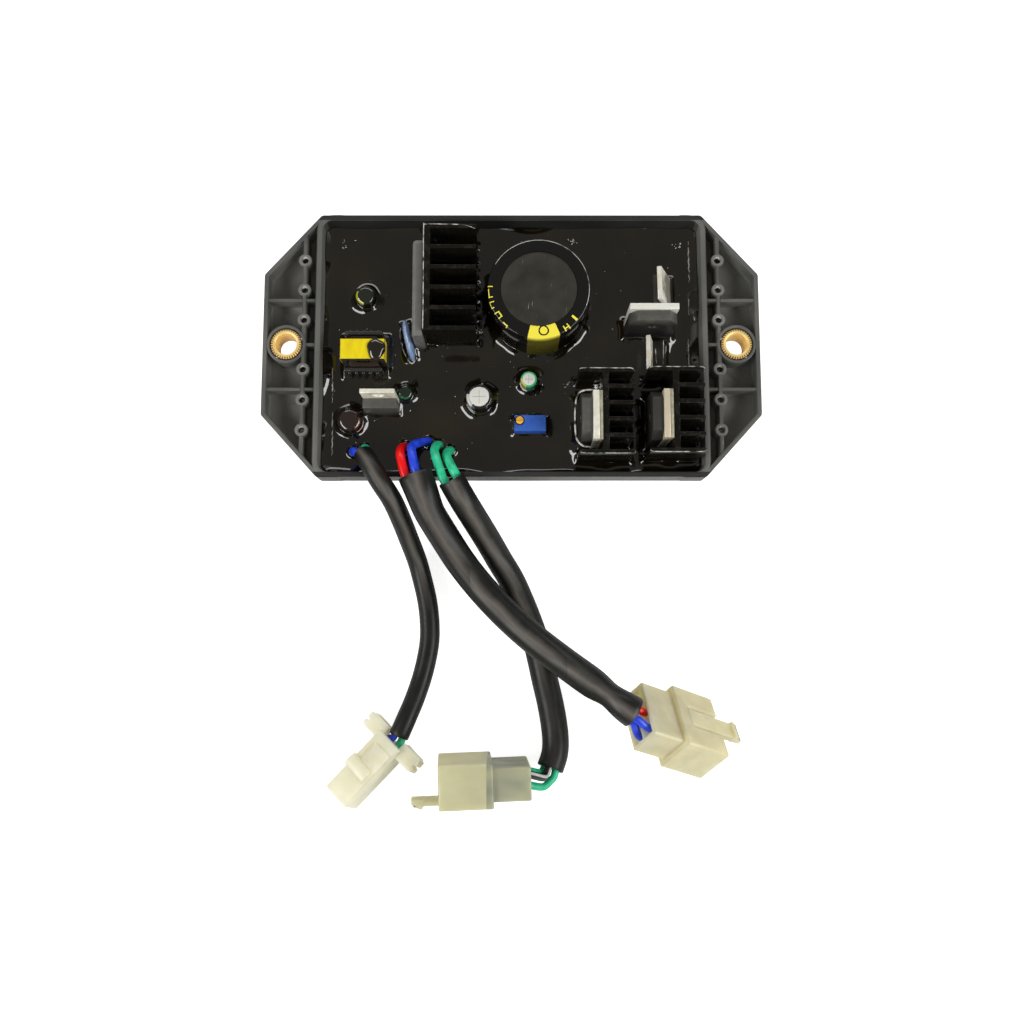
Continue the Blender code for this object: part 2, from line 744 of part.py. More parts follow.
def make_transformer(core_finish, bobbin_finish, winding_finish):
    """The small transformer: ferrite core round a bobbin with end cheeks, and the winding between them."""
    x, y = core_centre
    length, depth, height = core_size
    base = component_base + bobbin_base + seat_gap
    bm = bmesh.new()
    prism(bm, centred(core_centre, length, depth), base, base + height)
    core = make_object("transformer_core", bm, core_finish)
    window = (length - core_leg - 2 * core_side_leg) / 2
    bm = bmesh.new()
    for side in (1, -1):
        middle = (x + side * (core_leg + window) / 2, y)
        prism(bm, centred(middle, window, depth + 2 * MM), base + core_yoke, base + height - core_yoke)
    combine(core, make_object("windows", bm), "DIFFERENCE")

    bm = bmesh.new()
    prism(bm, centred(core_centre, bobbin_size[0], bobbin_size[1]), component_base, component_base + bobbin_base)
    bobbin = make_object("transformer_bobbin", bm, bobbin_finish)
    for side in (1, -1):
        cheek_y = y + side * (bobbin_size[1] - bobbin_cheek) / 2
        cheek = centred((x, cheek_y), bobbin_size[0] - 0.2 * MM, bobbin_cheek)
        top = component_base + bobbin_height
        combine(bobbin, tool_prism("cheek", cheek, component_base + bobbin_base / 2, top), "UNION")
        for index in range(bobbin_ribs):
            rib_x = x + bobbin_size[0] * (index - (bobbin_ribs - 1) / 2) / (bobbin_ribs + 0.5)
            rib_y = y + side * (bobbin_size[1] / 2 + 0.15 * MM)
            rib = centred((rib_x, rib_y), 0.9 * MM, 0.9 * MM)
            combine(bobbin, tool_prism("rib", rib, component_base, top - 1.2 * MM), "UNION")

    inner = (core_leg + 2 * seat_gap, depth + 2 * seat_gap)
    outer_x = core_leg + 2 * window - 2 * seat_gap
    outer_y = bobbin_size[1] - 2 * bobbin_cheek - 2 * seat_gap
    low = base + core_yoke + seat_gap
    high = base + height - core_yoke - seat_gap
    bm = bmesh.new()
    prism(bm, rounded(centred(core_centre, outer_x, outer_y), 1.0 * MM, 3), low, high)
    winding = make_object("transformer_winding", bm, winding_finish)
    hole = centred(core_centre, *inner)
    combine(winding, tool_prism("hole", hole, low - 1 * MM, high + 1 * MM), "DIFFERENCE")


def make_trimmer(body_finish, screw_finish):
    """The multi-turn trimmer: a box on three pins with its slotted screw in one corner."""
    x, y = trimmer_centre
    length, width, height = trimmer_size
    bottom = component_base
    top = bottom + height
    bm = bmesh.new()
    prism(bm, centred(trimmer_centre, length, width), bottom, top)
    body = make_object("trimmer_body", bm, body_finish)
    reach = trimmer_screw_radius + seat_gap
    spot = (x - length / 2 + trimmer_screw_inset + 0.4 * MM, y + width / 2 - trimmer_screw_inset - 0.4 * MM)
    seat = top - 1.2 * MM
    combine(body, tool_prism("screw_seat", circle(spot, reach, 20), seat, top + 1 * MM), "DIFFERENCE")
    bm = bmesh.new()
    prism(bm, circle(spot, trimmer_screw_radius, 20), seat + seat_gap, top + 0.3 * MM)
    screw = make_object("trimmer_screw", bm, screw_finish)
    slot = centred(spot, 2.6 * trimmer_screw_radius, trimmer_screw_slot)
    combine(screw, tool_prism("slot", slot, top - 0.4 * MM, top + 1 * MM), "DIFFERENCE")


def package_matrix(spot, stand, turn=0.0, lean=0.0):
    """Place a package: its back edge at the spot and this high above the board, turned and leaned."""
    pivot = Matrix.Translation((spot[0], spot[1], board_top + stand))
    return pivot @ Matrix.Rotation(turn, 4, "Z") @ Matrix.Rotation(lean, 4, "X")


def make_package(name, kind, matrix, tab_finish, body_finish):
    """A power package: the metal tab, and the epoxy body with its three leads, which faces -Y."""
    half = kind["width"] / 2
    height = kind["height"]
    bm = bmesh.new()
    prism(bm, rectangle(-half, -kind["tab"], half, 0.0), 0.0, height)
    tab = make_object(name + "_tab", bm, tab_finish)
    back = -kind["tab"] - mould_gap
    chest = height - kind["step"]
    depth = kind["body"]
    draw, drop = kind["shoulder"]
    levels = ((0.0, 0.92, 0.0), (chest / 2, 1.0, 0.0), (chest - drop, 0.94, 0.0), (chest, 0.9, draw))
    bm = bmesh.new()
    loft(bm, [level(rectangle(-half + side, back - depth * share, half - side, back), z)
              for z, share, side in levels])
    body = make_object(name + "_body", bm, body_finish)
    drill = height - kind["hole_drop"]
    for piece in (tab, body):
        bm = bmesh.new()
        prism(bm, circle((0.0, 0.0), kind["hole"], 18), -20 * MM, 20 * MM)
        place(bm, Matrix.Translation((0.0, 0.0, drill)) @ Matrix.Rotation(math.pi / 2, 4, "X"))
        combine(piece, make_object("hole", bm), "DIFFERENCE")
    middle = back - depth / 2
    foot = matrix @ Vector((0.0, middle, 0.0))
    upright = matrix.to_3x3().col[2].z
    length = (foot.z - board_top - 2 * seat_gap) / upright
    bm = bmesh.new()
    for index in (-1, 0, 1):
        prism(bm, centred((index * kind["lead_pitch"], middle), *kind["lead"]), -length, 1.0 * MM)
    combine(body, make_object("leads", bm), "UNION")
    for piece in (tab, body):
        piece.data.transform(matrix)
        piece.data.shade_smooth()
        piece.data.set_sharp_from_angle(angle=math.radians(35.0))


def connector_matrix(place_and_turn):
    """Place a connector: its wire face at the spot, its mouth along its own +X."""
    spot, turn = place_and_turn
    angles = Euler([math.radians(angle) for angle in turn], "XYZ")
    return Matrix.Translation(Vector(spot) * MM) @ angles.to_matrix().to_4x4()


def bar(bm, x0, x1, y0, y1, z0, z1):
    """A rectangular bar between corners, with no faces shared."""
    prism(bm, rectangle(x0, y0, x1, y1), z0, z1)


def box_tool(name, x0, x1, y0, y1, z0, z1):
    """A rectangular bar used to cut or to join."""
    bm = bmesh.new()
    bar(bm, x0, x1, y0, y1, z0, z1)
    return make_object(name, bm)


def block_rings(x0, x1, width, height, edge):
    """A block along X whose long edges are rounded off and whose ends are chamfered."""
    def ring(x, draw):
        corners = centred((0.0, 0.0), width - 2 * draw, height - 2 * draw)
        return [(x, y, z) for y, z in rounded(corners, edge, 2)]
    return [ring(x0, edge / 2), ring(x0 + edge / 2, 0.0), ring(x1 - edge / 2, 0.0), ring(x1, edge / 2)]


def make_wide_connector(name, spec, finish):
    """The wide connector: rear block, hood with an open mouth, and a latch arm on top."""
    end = rear_length + hood_length
    bm = bmesh.new()
    loft(bm, block_rings(0.0, rear_length + 2 * MM, rear_block[0], rear_block[1], connector_edge))
    body = make_object(name, bm, finish)
    bm = bmesh.new()
    loft(bm, block_rings(rear_length, end, hood_block[0], hood_block[1], connector_edge))
    combine(body, make_object("hood", bm), "UNION")
    half_y = hood_block[0] / 2 - hood_wall
    half_z = hood_block[1] / 2 - hood_wall
    roof = half_z + hood_wall - latch_thickness - latch_slot
    mouth = box_tool("mouth", end - hood_depth, end + 2 * MM, -half_y, half_y, -half_z, roof)
    combine(body, mouth, "DIFFERENCE")
    gap = latch_width / 2 + latch_slot
    slot = box_tool("slot", end - hood_depth, end + 2 * MM, -gap, gap, roof - 1 * MM, half_z + 4 * MM)
    combine(body, slot, "DIFFERENCE")
    low = hood_block[1] / 2 - latch_thickness
    high = hood_block[1] / 2 - 0.05 * MM
    tip = end + latch_reach
    half = latch_width / 2
    arm = box_tool("arm", end - hood_depth - 1 * MM, tip - 1 * MM, -half, half, low, high)
    combine(body, arm, "UNION")
    head = half + 0.1 * MM
    heel = tip - latch_head
    bm = bmesh.new()
    side = [(heel, low - 0.05 * MM), (tip, low - 0.05 * MM), (tip, low + 1.2 * MM),
            (heel + 0.8 * MM, high + latch_hook), (heel, high + latch_hook)]
    loft(bm, [[(x, y, z) for x, z in side] for y in (-head, head)])
    combine(body, make_object("head", bm), "UNION")
    bm = bmesh.new()
    for y, z in wire_spots():
        bar(bm, -1 * MM, wire_cell_depth, y - wire_cell[0] / 2, y + wire_cell[0] / 2,
            z - wire_cell[1] / 2, z + wire_cell[1] / 2)
    combine(body, make_object("cells", bm), "DIFFERENCE")
    body.data.transform(connector_matrix(spec))
    body.data.shade_smooth()
    body.data.set_sharp_from_angle(angle=math.radians(35.0))


def wire_spots():
    """Where the wires enter a wide connector: two rows of three."""
    return [(column * wire_pitch, row * wire_row / 2) for row in (1, -1) for column in (-1, 0, 1)]


def make_narrow_connector(finish):
    """The narrow two-way connector with its pair of notched wings."""
    length, width, height = narrow_size
    bm = bmesh.new()
    loft(bm, block_rings(narrow_start, length, width, height, connector_edge))
    body = make_object("connector_left", bm, finish)
    for side in (1, -1):
        tip = side * wing_reach
        root = side * (width / 2 - 1 * MM)
        notch = side * (wing_reach - wing_notch)
        outline = [
            (0.0, root), (0.0, notch), (0.6 * MM, tip), (wing_length * 0.45, tip),
            (wing_length * 0.55, notch), (wing_length * 0.65, tip), (wing_length - 0.5 * MM, tip),
            (wing_length, notch), (wing_length, root),
        ]
        if side > 0:
            outline.reverse()
        wing = tool_prism("wing", outline, -wing_height / 2, wing_height / 2)
        combine(body, wing, "UNION")
    top = height / 2
    bm = bmesh.new()
    half = width / 2
    start = collar_start
    stop = collar_start + collar_length
    side = [(start, top - 1 * MM), (stop, top - 1 * MM), (stop - 0.6 * MM, top + collar_rise * 0.7),
            (stop - 1.6 * MM, top + collar_rise), (start + 1.4 * MM, top + collar_rise),
            (start + 0.3 * MM, top + collar_rise * 0.6)]
    loft(bm, [[(x, y, z) for x, z in side] for y in (-half - 0.4 * MM, half - 1.2 * MM)])
    combine(body, make_object("collar", bm), "UNION")
    lug = box_tool("lug", wing_length + 0.5 * MM, start + 0.5 * MM, -half + 2.4 * MM, half - 0.3 * MM,
                   top - 1 * MM, top + pad_rise)
    combine(body, lug, "UNION")
    mouth = box_tool("mouth", length - narrow_mouth_depth, length + 2 * MM,
                     -narrow_mouth[0] / 2, narrow_mouth[0] / 2, -narrow_mouth[1] / 2, narrow_mouth[1] / 2)
    combine(body, mouth, "DIFFERENCE")
    slot = box_tool("slot", -1 * MM, narrow_start + wire_cell_depth,
                    -narrow_slot[0] / 2, narrow_slot[0] / 2, -narrow_slot[1] / 2, narrow_slot[1] / 2)
    combine(body, slot, "DIFFERENCE")
    body.data.transform(connector_matrix(narrow_connector))
    body.data.shade_smooth()
    body.data.set_sharp_from_angle(angle=math.radians(35.0))


def connector_places():
    """Where each connector lies, and where its wire face is along it."""
    return {
        "connector_left": (connector_matrix(narrow_connector), narrow_start),
        "connector_middle": (connector_matrix(middle_connector), 0.0),
        "connector_right": (connector_matrix(right_connector), 0.0),
    }


def make_leads(sleeve_finish, finishes):
    """The three sleeves, the wires that feed them and the wires into the connectors."""
    routes = {}
    for name, (radius, points) in sleeves.items():
        routes[name] = smooth_route(metres(points), sleeve_step)
        tube(name, routes[name], radius, sleeve_finish, 3)
    for name, colour, sleeve, spot, points in box_wires:
        mouth = routes[sleeve][::-1]
        ends = [off_end(mouth, 1.8 * MM, spot), off_end(mouth, seat_gap, spot)]
        tube(name, smooth_route(metres(points) + ends, wire_step), wire_radius, finishes[colour], 1)
    places = connector_places()
    for name, colour, sleeve, spot, points, connector, cell in end_wires:
        route = routes[sleeve]
        starts = [off_end(route, end_gap, spot), off_end(route, end_gap + spot[2] * MM, spot)]
        matrix, face = places[connector]
        ends = [matrix @ Vector((face + depth, cell[0] * MM, cell[1] * MM))
                for depth in (0.6 * MM, wire_cell_depth - 1 * MM)]
        route = smooth_route(starts + metres(points) + ends, end_wire_step)
        tube(name, route, end_wire_radius, finishes[colour], 1)


def make_resin(finish):
    """The potting resin fills the tray round the board, with a pocket for all that passes through it."""
    bm = bmesh.new()
    floor = tray_floor + seat_gap
    loft(bm, [level(tray_outline(z, tray_wall + seat_gap), z) for z in (floor, resin_top)])
    resin = make_object("potting_resin", bm, finish)
    gap = seat_gap
    over = resin_top + 1 * MM
    void = centred((0.0, 0.0), board_length + 2 * gap, board_width + 2 * gap)
    combine(resin, tool_prism("board_void", void, board_bottom - gap, board_top + gap), "DIFFERENCE")
    bm = bmesh.new()
    for x in (-1, 1):
        for y in (-1, 1):
            centre = (x * standoff_spacing[0] / 2, y * standoff_spacing[1] / 2)
            prism(bm, circle(centre, standoff_radius + gap, 16), tray_floor - 1 * MM, board_bottom)
    combine(resin, make_object("standoff_voids", bm), "DIFFERENCE")
    bm = bmesh.new()
    low = board_top
    prism(bm, circle(main_cap_centre, main_cap_radius + gap, 48), low, over)
    for name, centre, diameter, height in small_caps:
        prism(bm, circle(centre, diameter / 2 + gap, 20), low, over)
    prism(bm, small_sink(middle_sink_corner, gap), low, over)
    prism(bm, small_sink(right_sink_corner, gap), low, over)
    prism(bm, centred(trimmer_centre, trimmer_size[0] + 2 * gap, trimmer_size[1] + 2 * gap), low, over)
    depth = bobbin_size[1] + 1.2 * MM + 2 * gap
    wide = core_size[0] + 2 * gap
    prism(bm, centred(core_centre, wide, depth), low, over)
    combine(resin, make_object("pockets", bm), "DIFFERENCE")
    bm = bmesh.new()
    prism(bm, left_sink(gap), low, over)
    for name, colour, sleeve, spot, points in box_wires:
        x, y, z = points[0]
        prism(bm, circle((x * MM, y * MM), wire_radius + gap, 10), low, over)
    combine(resin, make_object("pockets", bm), "DIFFERENCE")
    combine(resin, tool_prism("bridge_void", bridge_outline(gap), low, over), "DIFFERENCE")
    bm = bmesh.new()
    slot = centred((0.0, 0.0), 2 * (disc_radius + gap), disc_thickness + 2 * gap)
    prism(bm, slot, low, over)
    place(bm, Matrix.Translation((*disc_centre, 0.0)) @ Matrix.Rotation(disc_turn + math.pi / 2, 4, "Z"))
    combine(resin, make_object("disc_void", bm), "DIFFERENCE")
    for name, kind, matrix in packages():
        bm = bmesh.new()
        half = kind["width"] / 2 + gap
        front = -kind["tab"] - mould_gap - kind["body"] - gap
        along, upright = matrix.to_3x3().col[1].z, matrix.to_3x3().col[2].z
        start = (low - matrix.translation.z - max(0.0, front * along)) / upright
        prism(bm, rectangle(-half, front, half, gap), start, 30 * MM)
        place(bm, matrix)
        combine(resin, make_object("package_void", bm), "DIFFERENCE")
    for name, (x0, y0), (x1, y1) in pad_places():
        pad_void = rectangle(x0 - gap, y0 - 1.4 * gap, x1 + gap, y1 + 1.4 * gap)
        combine(resin, tool_prism("pad_void", pad_void, low, over), "DIFFERENCE")
    resin.data.shade_smooth()
    resin.data.set_sharp_from_angle(angle=math.radians(35.0))


def sink_pair():
    """The two transistors on the small sinks: name, the sink's corner and how far along its web."""
    middle = (small_sink_pitch * (small_sink_fins - 1) + small_sink_fin) / 2 + sink_transistor_shift
    return (
        ("transistor_middle", middle_sink_corner, middle),
        ("transistor_right", right_sink_corner, middle),
    )


def packages():
    """All six power packages: name, kind and place."""
    rows = [
        ("regulator", small_package, package_matrix(regulator_place, regulator_stand)),
        ("thyristor", large_package, package_matrix(thyristor_place, thyristor_stand)),
        ("transistor_upper", small_package, package_matrix(
            upper_transistor_place, upper_transistor_stand, upper_transistor_turn, upper_transistor_lean)),
        ("transistor_lower", small_package, package_matrix(
            lower_transistor_place, lower_transistor_stand, lower_transistor_turn, lower_transistor_lean)),
    ]
    for name, corner, middle in sink_pair():
        spot = (corner[0] - pad_thickness - 2 * mould_gap, corner[1] + middle)
        rows.append((name, large_package, package_matrix(spot, sink_transistor_stand, math.radians(-90.0))))
    return rows


def pad_places():
    """Opposite corners of the insulating pads in plan."""
    half = large_package["width"] / 2
    places = []
    for name, corner, middle in sink_pair():
        right = corner[0] - mould_gap
        y = corner[1] + middle
        places.append((name + "_pad", (right - pad_thickness, y - half), (right, y + half)))
    return places


def make_pads(finish):
    """The insulating pads between the two large transistors and their heat sinks."""
    for name, (x0, y0), (x1, y1) in pad_places():
        bm = bmesh.new()
        bottom = board_top + sink_transistor_stand
        top = bottom + large_package["height"] - pad_drop
        prism(bm, rectangle(x0, y0, x1, y1), bottom + pad_lift, top)
        make_object(name, bm, finish)


def build():
    """Make every piece of the regulator."""
    clear_scene()
    nylon = make_material("black_nylon", (0.035, 0.035, 0.034), 0.5)
    brass = make_material("brass", (0.72, 0.48, 0.2), 0.3, 1.0)
    laminate = make_material("board_green", (0.05, 0.16, 0.07), 0.5)
    resin = make_material("potting_resin", (0.008, 0.008, 0.007), 0.12)
    sink_black = make_material("black_anodised", (0.02, 0.02, 0.022), 0.4, 0.6)
    sleeve_black = make_material("black_shrink_sleeve", (0.015, 0.015, 0.015), 0.3)
    blue_epoxy = make_material("blue_epoxy", (0.03, 0.08, 0.4), 0.3)
    ferrite = make_material("taped_ferrite", (0.9, 0.75, 0.05), 0.5)
    copper = make_material("winding", (0.1, 0.06, 0.03), 0.5)
    black_epoxy = make_material("black_epoxy", (0.03, 0.03, 0.03), 0.45)
    tinned = make_material("tinned_tab", (0.8, 0.78, 0.68), 0.35, 0.9)
    pad = make_material("insulating_pad", (0.6, 0.55, 0.42), 0.6)
    trimmer_blue = make_material("trimmer_blue", (0.04, 0.12, 0.55), 0.4)
    rubber = make_material("black_lead_sleeve", (0.04, 0.04, 0.038), 0.55)
    milky = make_material("natural_nylon", (0.72, 0.7, 0.52), 0.4)
    silver = make_material("aluminium_can", (0.75, 0.75, 0.74), 0.3, 0.9)
    green_can = make_material("green_can", (0.03, 0.35, 0.16), 0.35)
    wires = {
        "red": make_material("red_wire", (0.8, 0.02, 0.02), 0.4),
        "blue": make_material("blue_wire", (0.03, 0.12, 0.75), 0.4),
        "green": make_material("green_wire", (0.02, 0.4, 0.2), 0.4),
        "black": make_material("black_wire", (0.03, 0.03, 0.03), 0.4),
    }
    can_finishes = {
        "capacitor_upper_left": sleeve_black,
        "capacitor_by_regulator": green_can,
        "capacitor_lower_left": sleeve_black,
        "capacitor_silver": silver,
        "capacitor_green": green_can,
    }
    make_case(nylon)
    make_bush("bush_left", -1, brass)
    make_bush("bush_right", 1, brass)
    make_board(laminate)
    make_resin(resin)
    make_sinks(sink_black)
    make_main_capacitor(sleeve_black)
    make_small_capacitors(can_finishes)
    make_bridge(black_epoxy)
    make_disc(blue_epoxy)
    make_transformer(ferrite, sleeve_black, copper)
    make_trimmer(trimmer_blue, brass)
    for name, kind, matrix in packages():
        make_package(name, kind, matrix, tinned, black_epoxy)
    make_pads(pad)
    make_leads(rubber, wires)
    make_wide_connector("connector_middle", middle_connector, milky)
    make_wide_connector("connector_right", right_connector, milky)
    make_narrow_connector(milky)


build()
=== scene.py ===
import math
import random

import bmesh
import bpy
from mathutils import Euler, Matrix, Vector


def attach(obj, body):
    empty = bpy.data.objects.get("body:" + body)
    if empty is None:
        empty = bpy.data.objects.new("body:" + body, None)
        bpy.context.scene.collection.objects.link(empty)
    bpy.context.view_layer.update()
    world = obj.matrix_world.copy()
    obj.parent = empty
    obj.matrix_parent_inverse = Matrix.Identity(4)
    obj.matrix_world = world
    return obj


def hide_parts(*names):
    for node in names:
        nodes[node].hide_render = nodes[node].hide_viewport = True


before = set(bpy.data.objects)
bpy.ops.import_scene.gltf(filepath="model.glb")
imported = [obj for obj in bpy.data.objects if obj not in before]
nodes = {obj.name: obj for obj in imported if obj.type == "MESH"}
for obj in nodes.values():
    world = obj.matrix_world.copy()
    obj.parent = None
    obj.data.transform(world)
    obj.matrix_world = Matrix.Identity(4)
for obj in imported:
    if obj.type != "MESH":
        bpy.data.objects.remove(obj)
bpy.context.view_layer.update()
MM = 0.001

# The studio. The regulator lies on a white table and is seen from above, a little from the side
# that its leads come out of, under three soft boxes.
bpy.ops.object.camera_add(location=(0.0002, -0.0858, 0.3098), rotation=(math.radians(6.86), 0.0, 0.0))
camera = bpy.context.object
camera.data.lens = 35.24
camera.data.sensor_width = 36.0
camera.data.clip_start = 0.01
scene = bpy.context.scene
scene.camera = camera
scene.view_settings.view_transform = "Standard"

soft_boxes = (
    ("box_left", (-0.56, -0.3, 0.5), (0.7, 0.21), 3.75),
    ("box_right", (0.58, -0.26, 0.5), (0.7, 0.21), 3.65),
    ("box_back", (0.0, 0.78, 0.36), (1.1, 0.2), 2.3),
)
for name, place, size, power in soft_boxes:
    bpy.ops.object.light_add(type="AREA", location=place)
    lamp = bpy.context.object
    lamp.name = name
    lamp.data.energy = power
    lamp.data.shape = "RECTANGLE"
    lamp.data.size, lamp.data.size_y = size
    lamp.rotation_euler = (Vector((0.0, -0.04, 0.0)) - Vector(place)).to_track_quat("-Z", "Y").to_euler()

world = bpy.data.worlds.new("studio_air")
scene.world = world
world.use_nodes = True
air = world.node_tree.nodes["Background"].inputs
air["Color"].default_value = (0.67, 0.65, 0.6, 1.0)
air["Strength"].default_value = 0.36

bpy.ops.mesh.primitive_plane_add(size=6.0, location=(0.0, 0.0, -0.0002))
table = bpy.context.object
table.name = "table_top"


def tint(red, green, blue):
    """The light that a colour of a paint chart, written 0 to 255, stands for."""
    return tuple((level / 255) ** 2.2 for level in (red, green, blue))


def joined(operation):
    """The method behind a sign of arithmetic: it adds the node that works it out."""
    return lambda level, other: level.maths(operation, level, other)


class Level:
    """A socket of a finish that takes part in plain arithmetic."""

    __add__ = __radd__ = joined("ADD")
    __sub__ = joined("SUBTRACT")
    __mul__ = __rmul__ = joined("MULTIPLY")
    __truediv__ = joined("DIVIDE")
    __pow__ = joined("POWER")
    __gt__ = joined("GREATER_THAN")
    __lt__ = joined("LESS_THAN")

    def __init__(self, finish, socket):
        self.finish = finish
        self.socket = socket

    def maths(self, operation, first, second):
        return self.finish.add("ShaderNodeMath", {"operation": operation}, {0: first, 1: second})

    def __rsub__(self, other):
        return self.maths("SUBTRACT", other, self)

    def __abs__(self):
        return self.maths("ABSOLUTE", self, 0.0)

    def wave(self):
        return self.maths("SINE", self, 0.0)

    def within(self, low, high):
        """One between two levels and nought outside them."""
        return (self > low) * (self < high)

    def beyond(self, limit):
        """One outside plus and minus a limit."""
        return abs(self) > limit


class Finish:
    """A material whose nodes are added one line at a time; its sizes and places are in millimetres."""

    def __init__(self, name, colour, roughness, metallic=0.0, **fixed):
        self.material = bpy.data.materials.new(name)
        self.material.use_nodes = True
        self.tree = self.material.node_tree
        self.shader = self.tree.nodes["Principled BSDF"]
        fixed.update({"Base Color": (*colour, 1.0), "Roughness": roughness, "Metallic": metallic})
        for socket, value in fixed.items():
            self.shader.inputs[socket.replace("_", " ")].default_value = value
        self.place = self.add("ShaderNodeTexCoord", {}, {}, "Object")

    def add(self, kind, settings, inputs, output=0):
        """Add a node: its settings first, then the values or links of its sockets."""
        node = self.tree.nodes.new(kind)
        for key, value in settings.items():
            setattr(node, key, value)
        for key, value in inputs.items():
            if isinstance(value, Level):
                self.tree.links.new(value.socket, node.inputs[key])
            else:
                node.inputs[key].default_value = value
        return Level(self, node.outputs[output])

    def axes(self):
        """The three parts of a place."""
        parts = [self.add("ShaderNodeSeparateXYZ", {}, {0: self.place}, axis) for axis in range(3)]
        return [part * (1.0 / MM) for part in parts]

    def round(self, centre):
        """A place's angle in degrees and its distance round an upright axis."""
        east, north, _ = self.axes()
        east, north = east - centre[0], north - centre[1]
        return east.maths("ARCTAN2", north, east) / math.radians(1.0), (east ** 2.0 + north ** 2.0) ** 0.5

    def across(self):
        """How far round a tube a place is, from nought to one, by the tube's own map."""
        chart = self.add("ShaderNodeUVMap", {"uv_map": "along"}, {})
        return self.add("ShaderNodeSeparateXYZ", {}, {0: chart})

    def grain(self, size, detail=2.0, stretch=(1.0, 1.0, 1.0)):
        """Noise whose lumps are about this size, drawn out along an axis by the stretch."""
        spot = self.add("ShaderNodeVectorMath", {"operation": "MULTIPLY"}, {0: self.place, 1: stretch})
        lumps = {"Vector": spot, "Scale": 1.0 / (size * MM), "Detail": detail}
        return self.add("ShaderNodeTexNoise", {}, lumps)

    def ramp(self, value, low, high):
        """Nought below the low level and one above the high one."""
        return self.add("ShaderNodeMapRange", {}, {"Value": value, "From Min": low, "From Max": high})

    def disc(self, spot, radius, soft):
        """One inside a ball round a spot, fading to nought over its soft edge."""
        spot = [length * MM for length in spot]
        far = self.add("ShaderNodeVectorMath", {"operation": "DISTANCE"}, {0: self.place, 1: spot}, "Value")
        return self.ramp(far, (radius + soft) * MM, radius * MM)

    def mix(self, share, first, second):
        """A colour between two others."""
        first = first if isinstance(first, Level) else (*first, 1.0)
        second = second if isinstance(second, Level) else (*second, 1.0)
        return self.add("ShaderNodeMix", {"data_type": "RGBA"}, {0: share, 6: first, 7: second}, 2)

    def coats(self, colour, *layers):
        """A colour under coats of others, each a share and its colour."""
        for share, other in layers:
            colour = self.mix(share, colour, other)
        return colour

    def feed(self, socket, value):
        """Link a value or colour to the shader."""
        self.tree.links.new(value.socket, self.shader.inputs[socket])

    def dress(self, colour, roughness, bumps, depth):
        """Feed the colour, the roughness and bumps of a real depth."""
        self.feed("Base Color", colour)
        self.feed("Roughness", roughness)
        bump = {"Height": bumps, "Distance": depth * MM, "Strength": 1.0}
        self.feed("Normal", self.add("ShaderNodeBump", {}, bump))


paper = Finish("white_table", (0.86, 0.86, 0.86), 0.6)
ray = paper.add("ShaderNodeLightPath", {}, {}, "Is Camera Ray")
paper.shader.inputs["Emission Strength"].default_value = 1.0
paper.feed("Emission Color", paper.mix(ray, (0.0, 0.0, 0.0), (0.8, 0.8, 0.8)))
table.data.materials.append(paper.material)

# The case. One moulding of black nylon: a drafted tray with a pocketed ear at each end, which thin
# ribs and small bosses stiffen. The mould leaves its edges slightly soft, and its pins leave pale
# rounds on the floors of the ears.
def finished_copy(name, node, edge, joined=True):
    """A frame part's shape with its faces joined up and its edges rounded."""
    bpy.ops.object.select_all(action="DESELECT")
    piece = bpy.data.objects.new(name, nodes[node].data.copy())
    scene.collection.objects.link(piece)
    piece.select_set(True)
    bpy.context.view_layer.objects.active = piece
    bpy.ops.object.mode_set(mode="EDIT")
    bpy.ops.mesh.select_all(action="SELECT")
    bpy.ops.mesh.remove_doubles(threshold=0.002 * MM)
    if joined:
        bpy.ops.mesh.dissolve_limited(angle_limit=math.radians(1.0))
    bpy.ops.object.mode_set(mode="OBJECT")
    bevel = piece.modifiers.new("soft_edges", "BEVEL")
    bevel.width = edge * MM
    bevel.segments = 2
    bevel.limit_method = "ANGLE"
    bevel.angle_limit = math.radians(32.0)
    bevel.use_clamp_overlap = False
    bpy.ops.object.modifier_apply(modifier="soft_edges")
    bpy.ops.object.shade_smooth_by_angle(angle=math.radians(38.0))
    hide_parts(node)
    return piece


def wear(piece, finish, slot):
    """Give a piece its finish and set it riding on the case; its slot is not used."""
    piece.data.materials.clear()
    piece.data.materials.append(finish.material)
    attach(piece, "root")
    return piece


ear_floor = 11.8
pin_marks = ((66.2, 17.2), (67.8, -18.8), (-66.0, 17.6), (-67.0, -19.2))
nylon = Finish("case_nylon", tint(86, 86, 82), 0.42)
cloudy = nylon.grain(14)
fine = nylon.grain(0.35, 3.0)
dust = nylon.ramp(nylon.grain(1.1, 4.0), 0.66, 0.74) * nylon.ramp(nylon.grain(9), 0.5, 0.62)
pins = sum(nylon.disc((x, y, ear_floor), 1.9, 0.25) for x, y in pin_marks)
boss_spots = [(side * 62.4, y) for side in (-1, 1) for y in (-26.1, -16.9, -7.6, 7.6, 16.9, 26.1)]
# The boss tops and bores are painted pale, painted light on them, and each bore has a painted white glint.
boss_painted_light = sum(nylon.disc((x, y, 17.6), 1.4, 0.7) for x, y in boss_spots)
glints = sum(nylon.disc((x, y + 0.9, 16.7), 0.7, 0.3) for x, y in boss_spots)
east, north, height = nylon.axes()
past_east = nylon.ramp(abs(east), 53.8, 58.8)
past_north = nylon.ramp(abs(north), 35.3, 40.3)
within_wall = (past_east ** 2.0 + past_north ** 2.0) < 0.73 ** 2
# The inner walls of the tray are painted dark, painted shade, except the upper parts of the side walls.
sides = east.beyond(56.9) * height.within(13.5, 17.6)
inner_wall_shade = within_wall * height.within(6.0, 17.6) * (1.0 - sides)
rim_sides = east.beyond(56.0) * (abs(east) < 58.7)
rim_sides = rim_sides * ((within_wall * (height > 13.5) + (height > 17.6)) > 0.5)
rim_ends = north.beyond(38.7) * (height > 17.6)
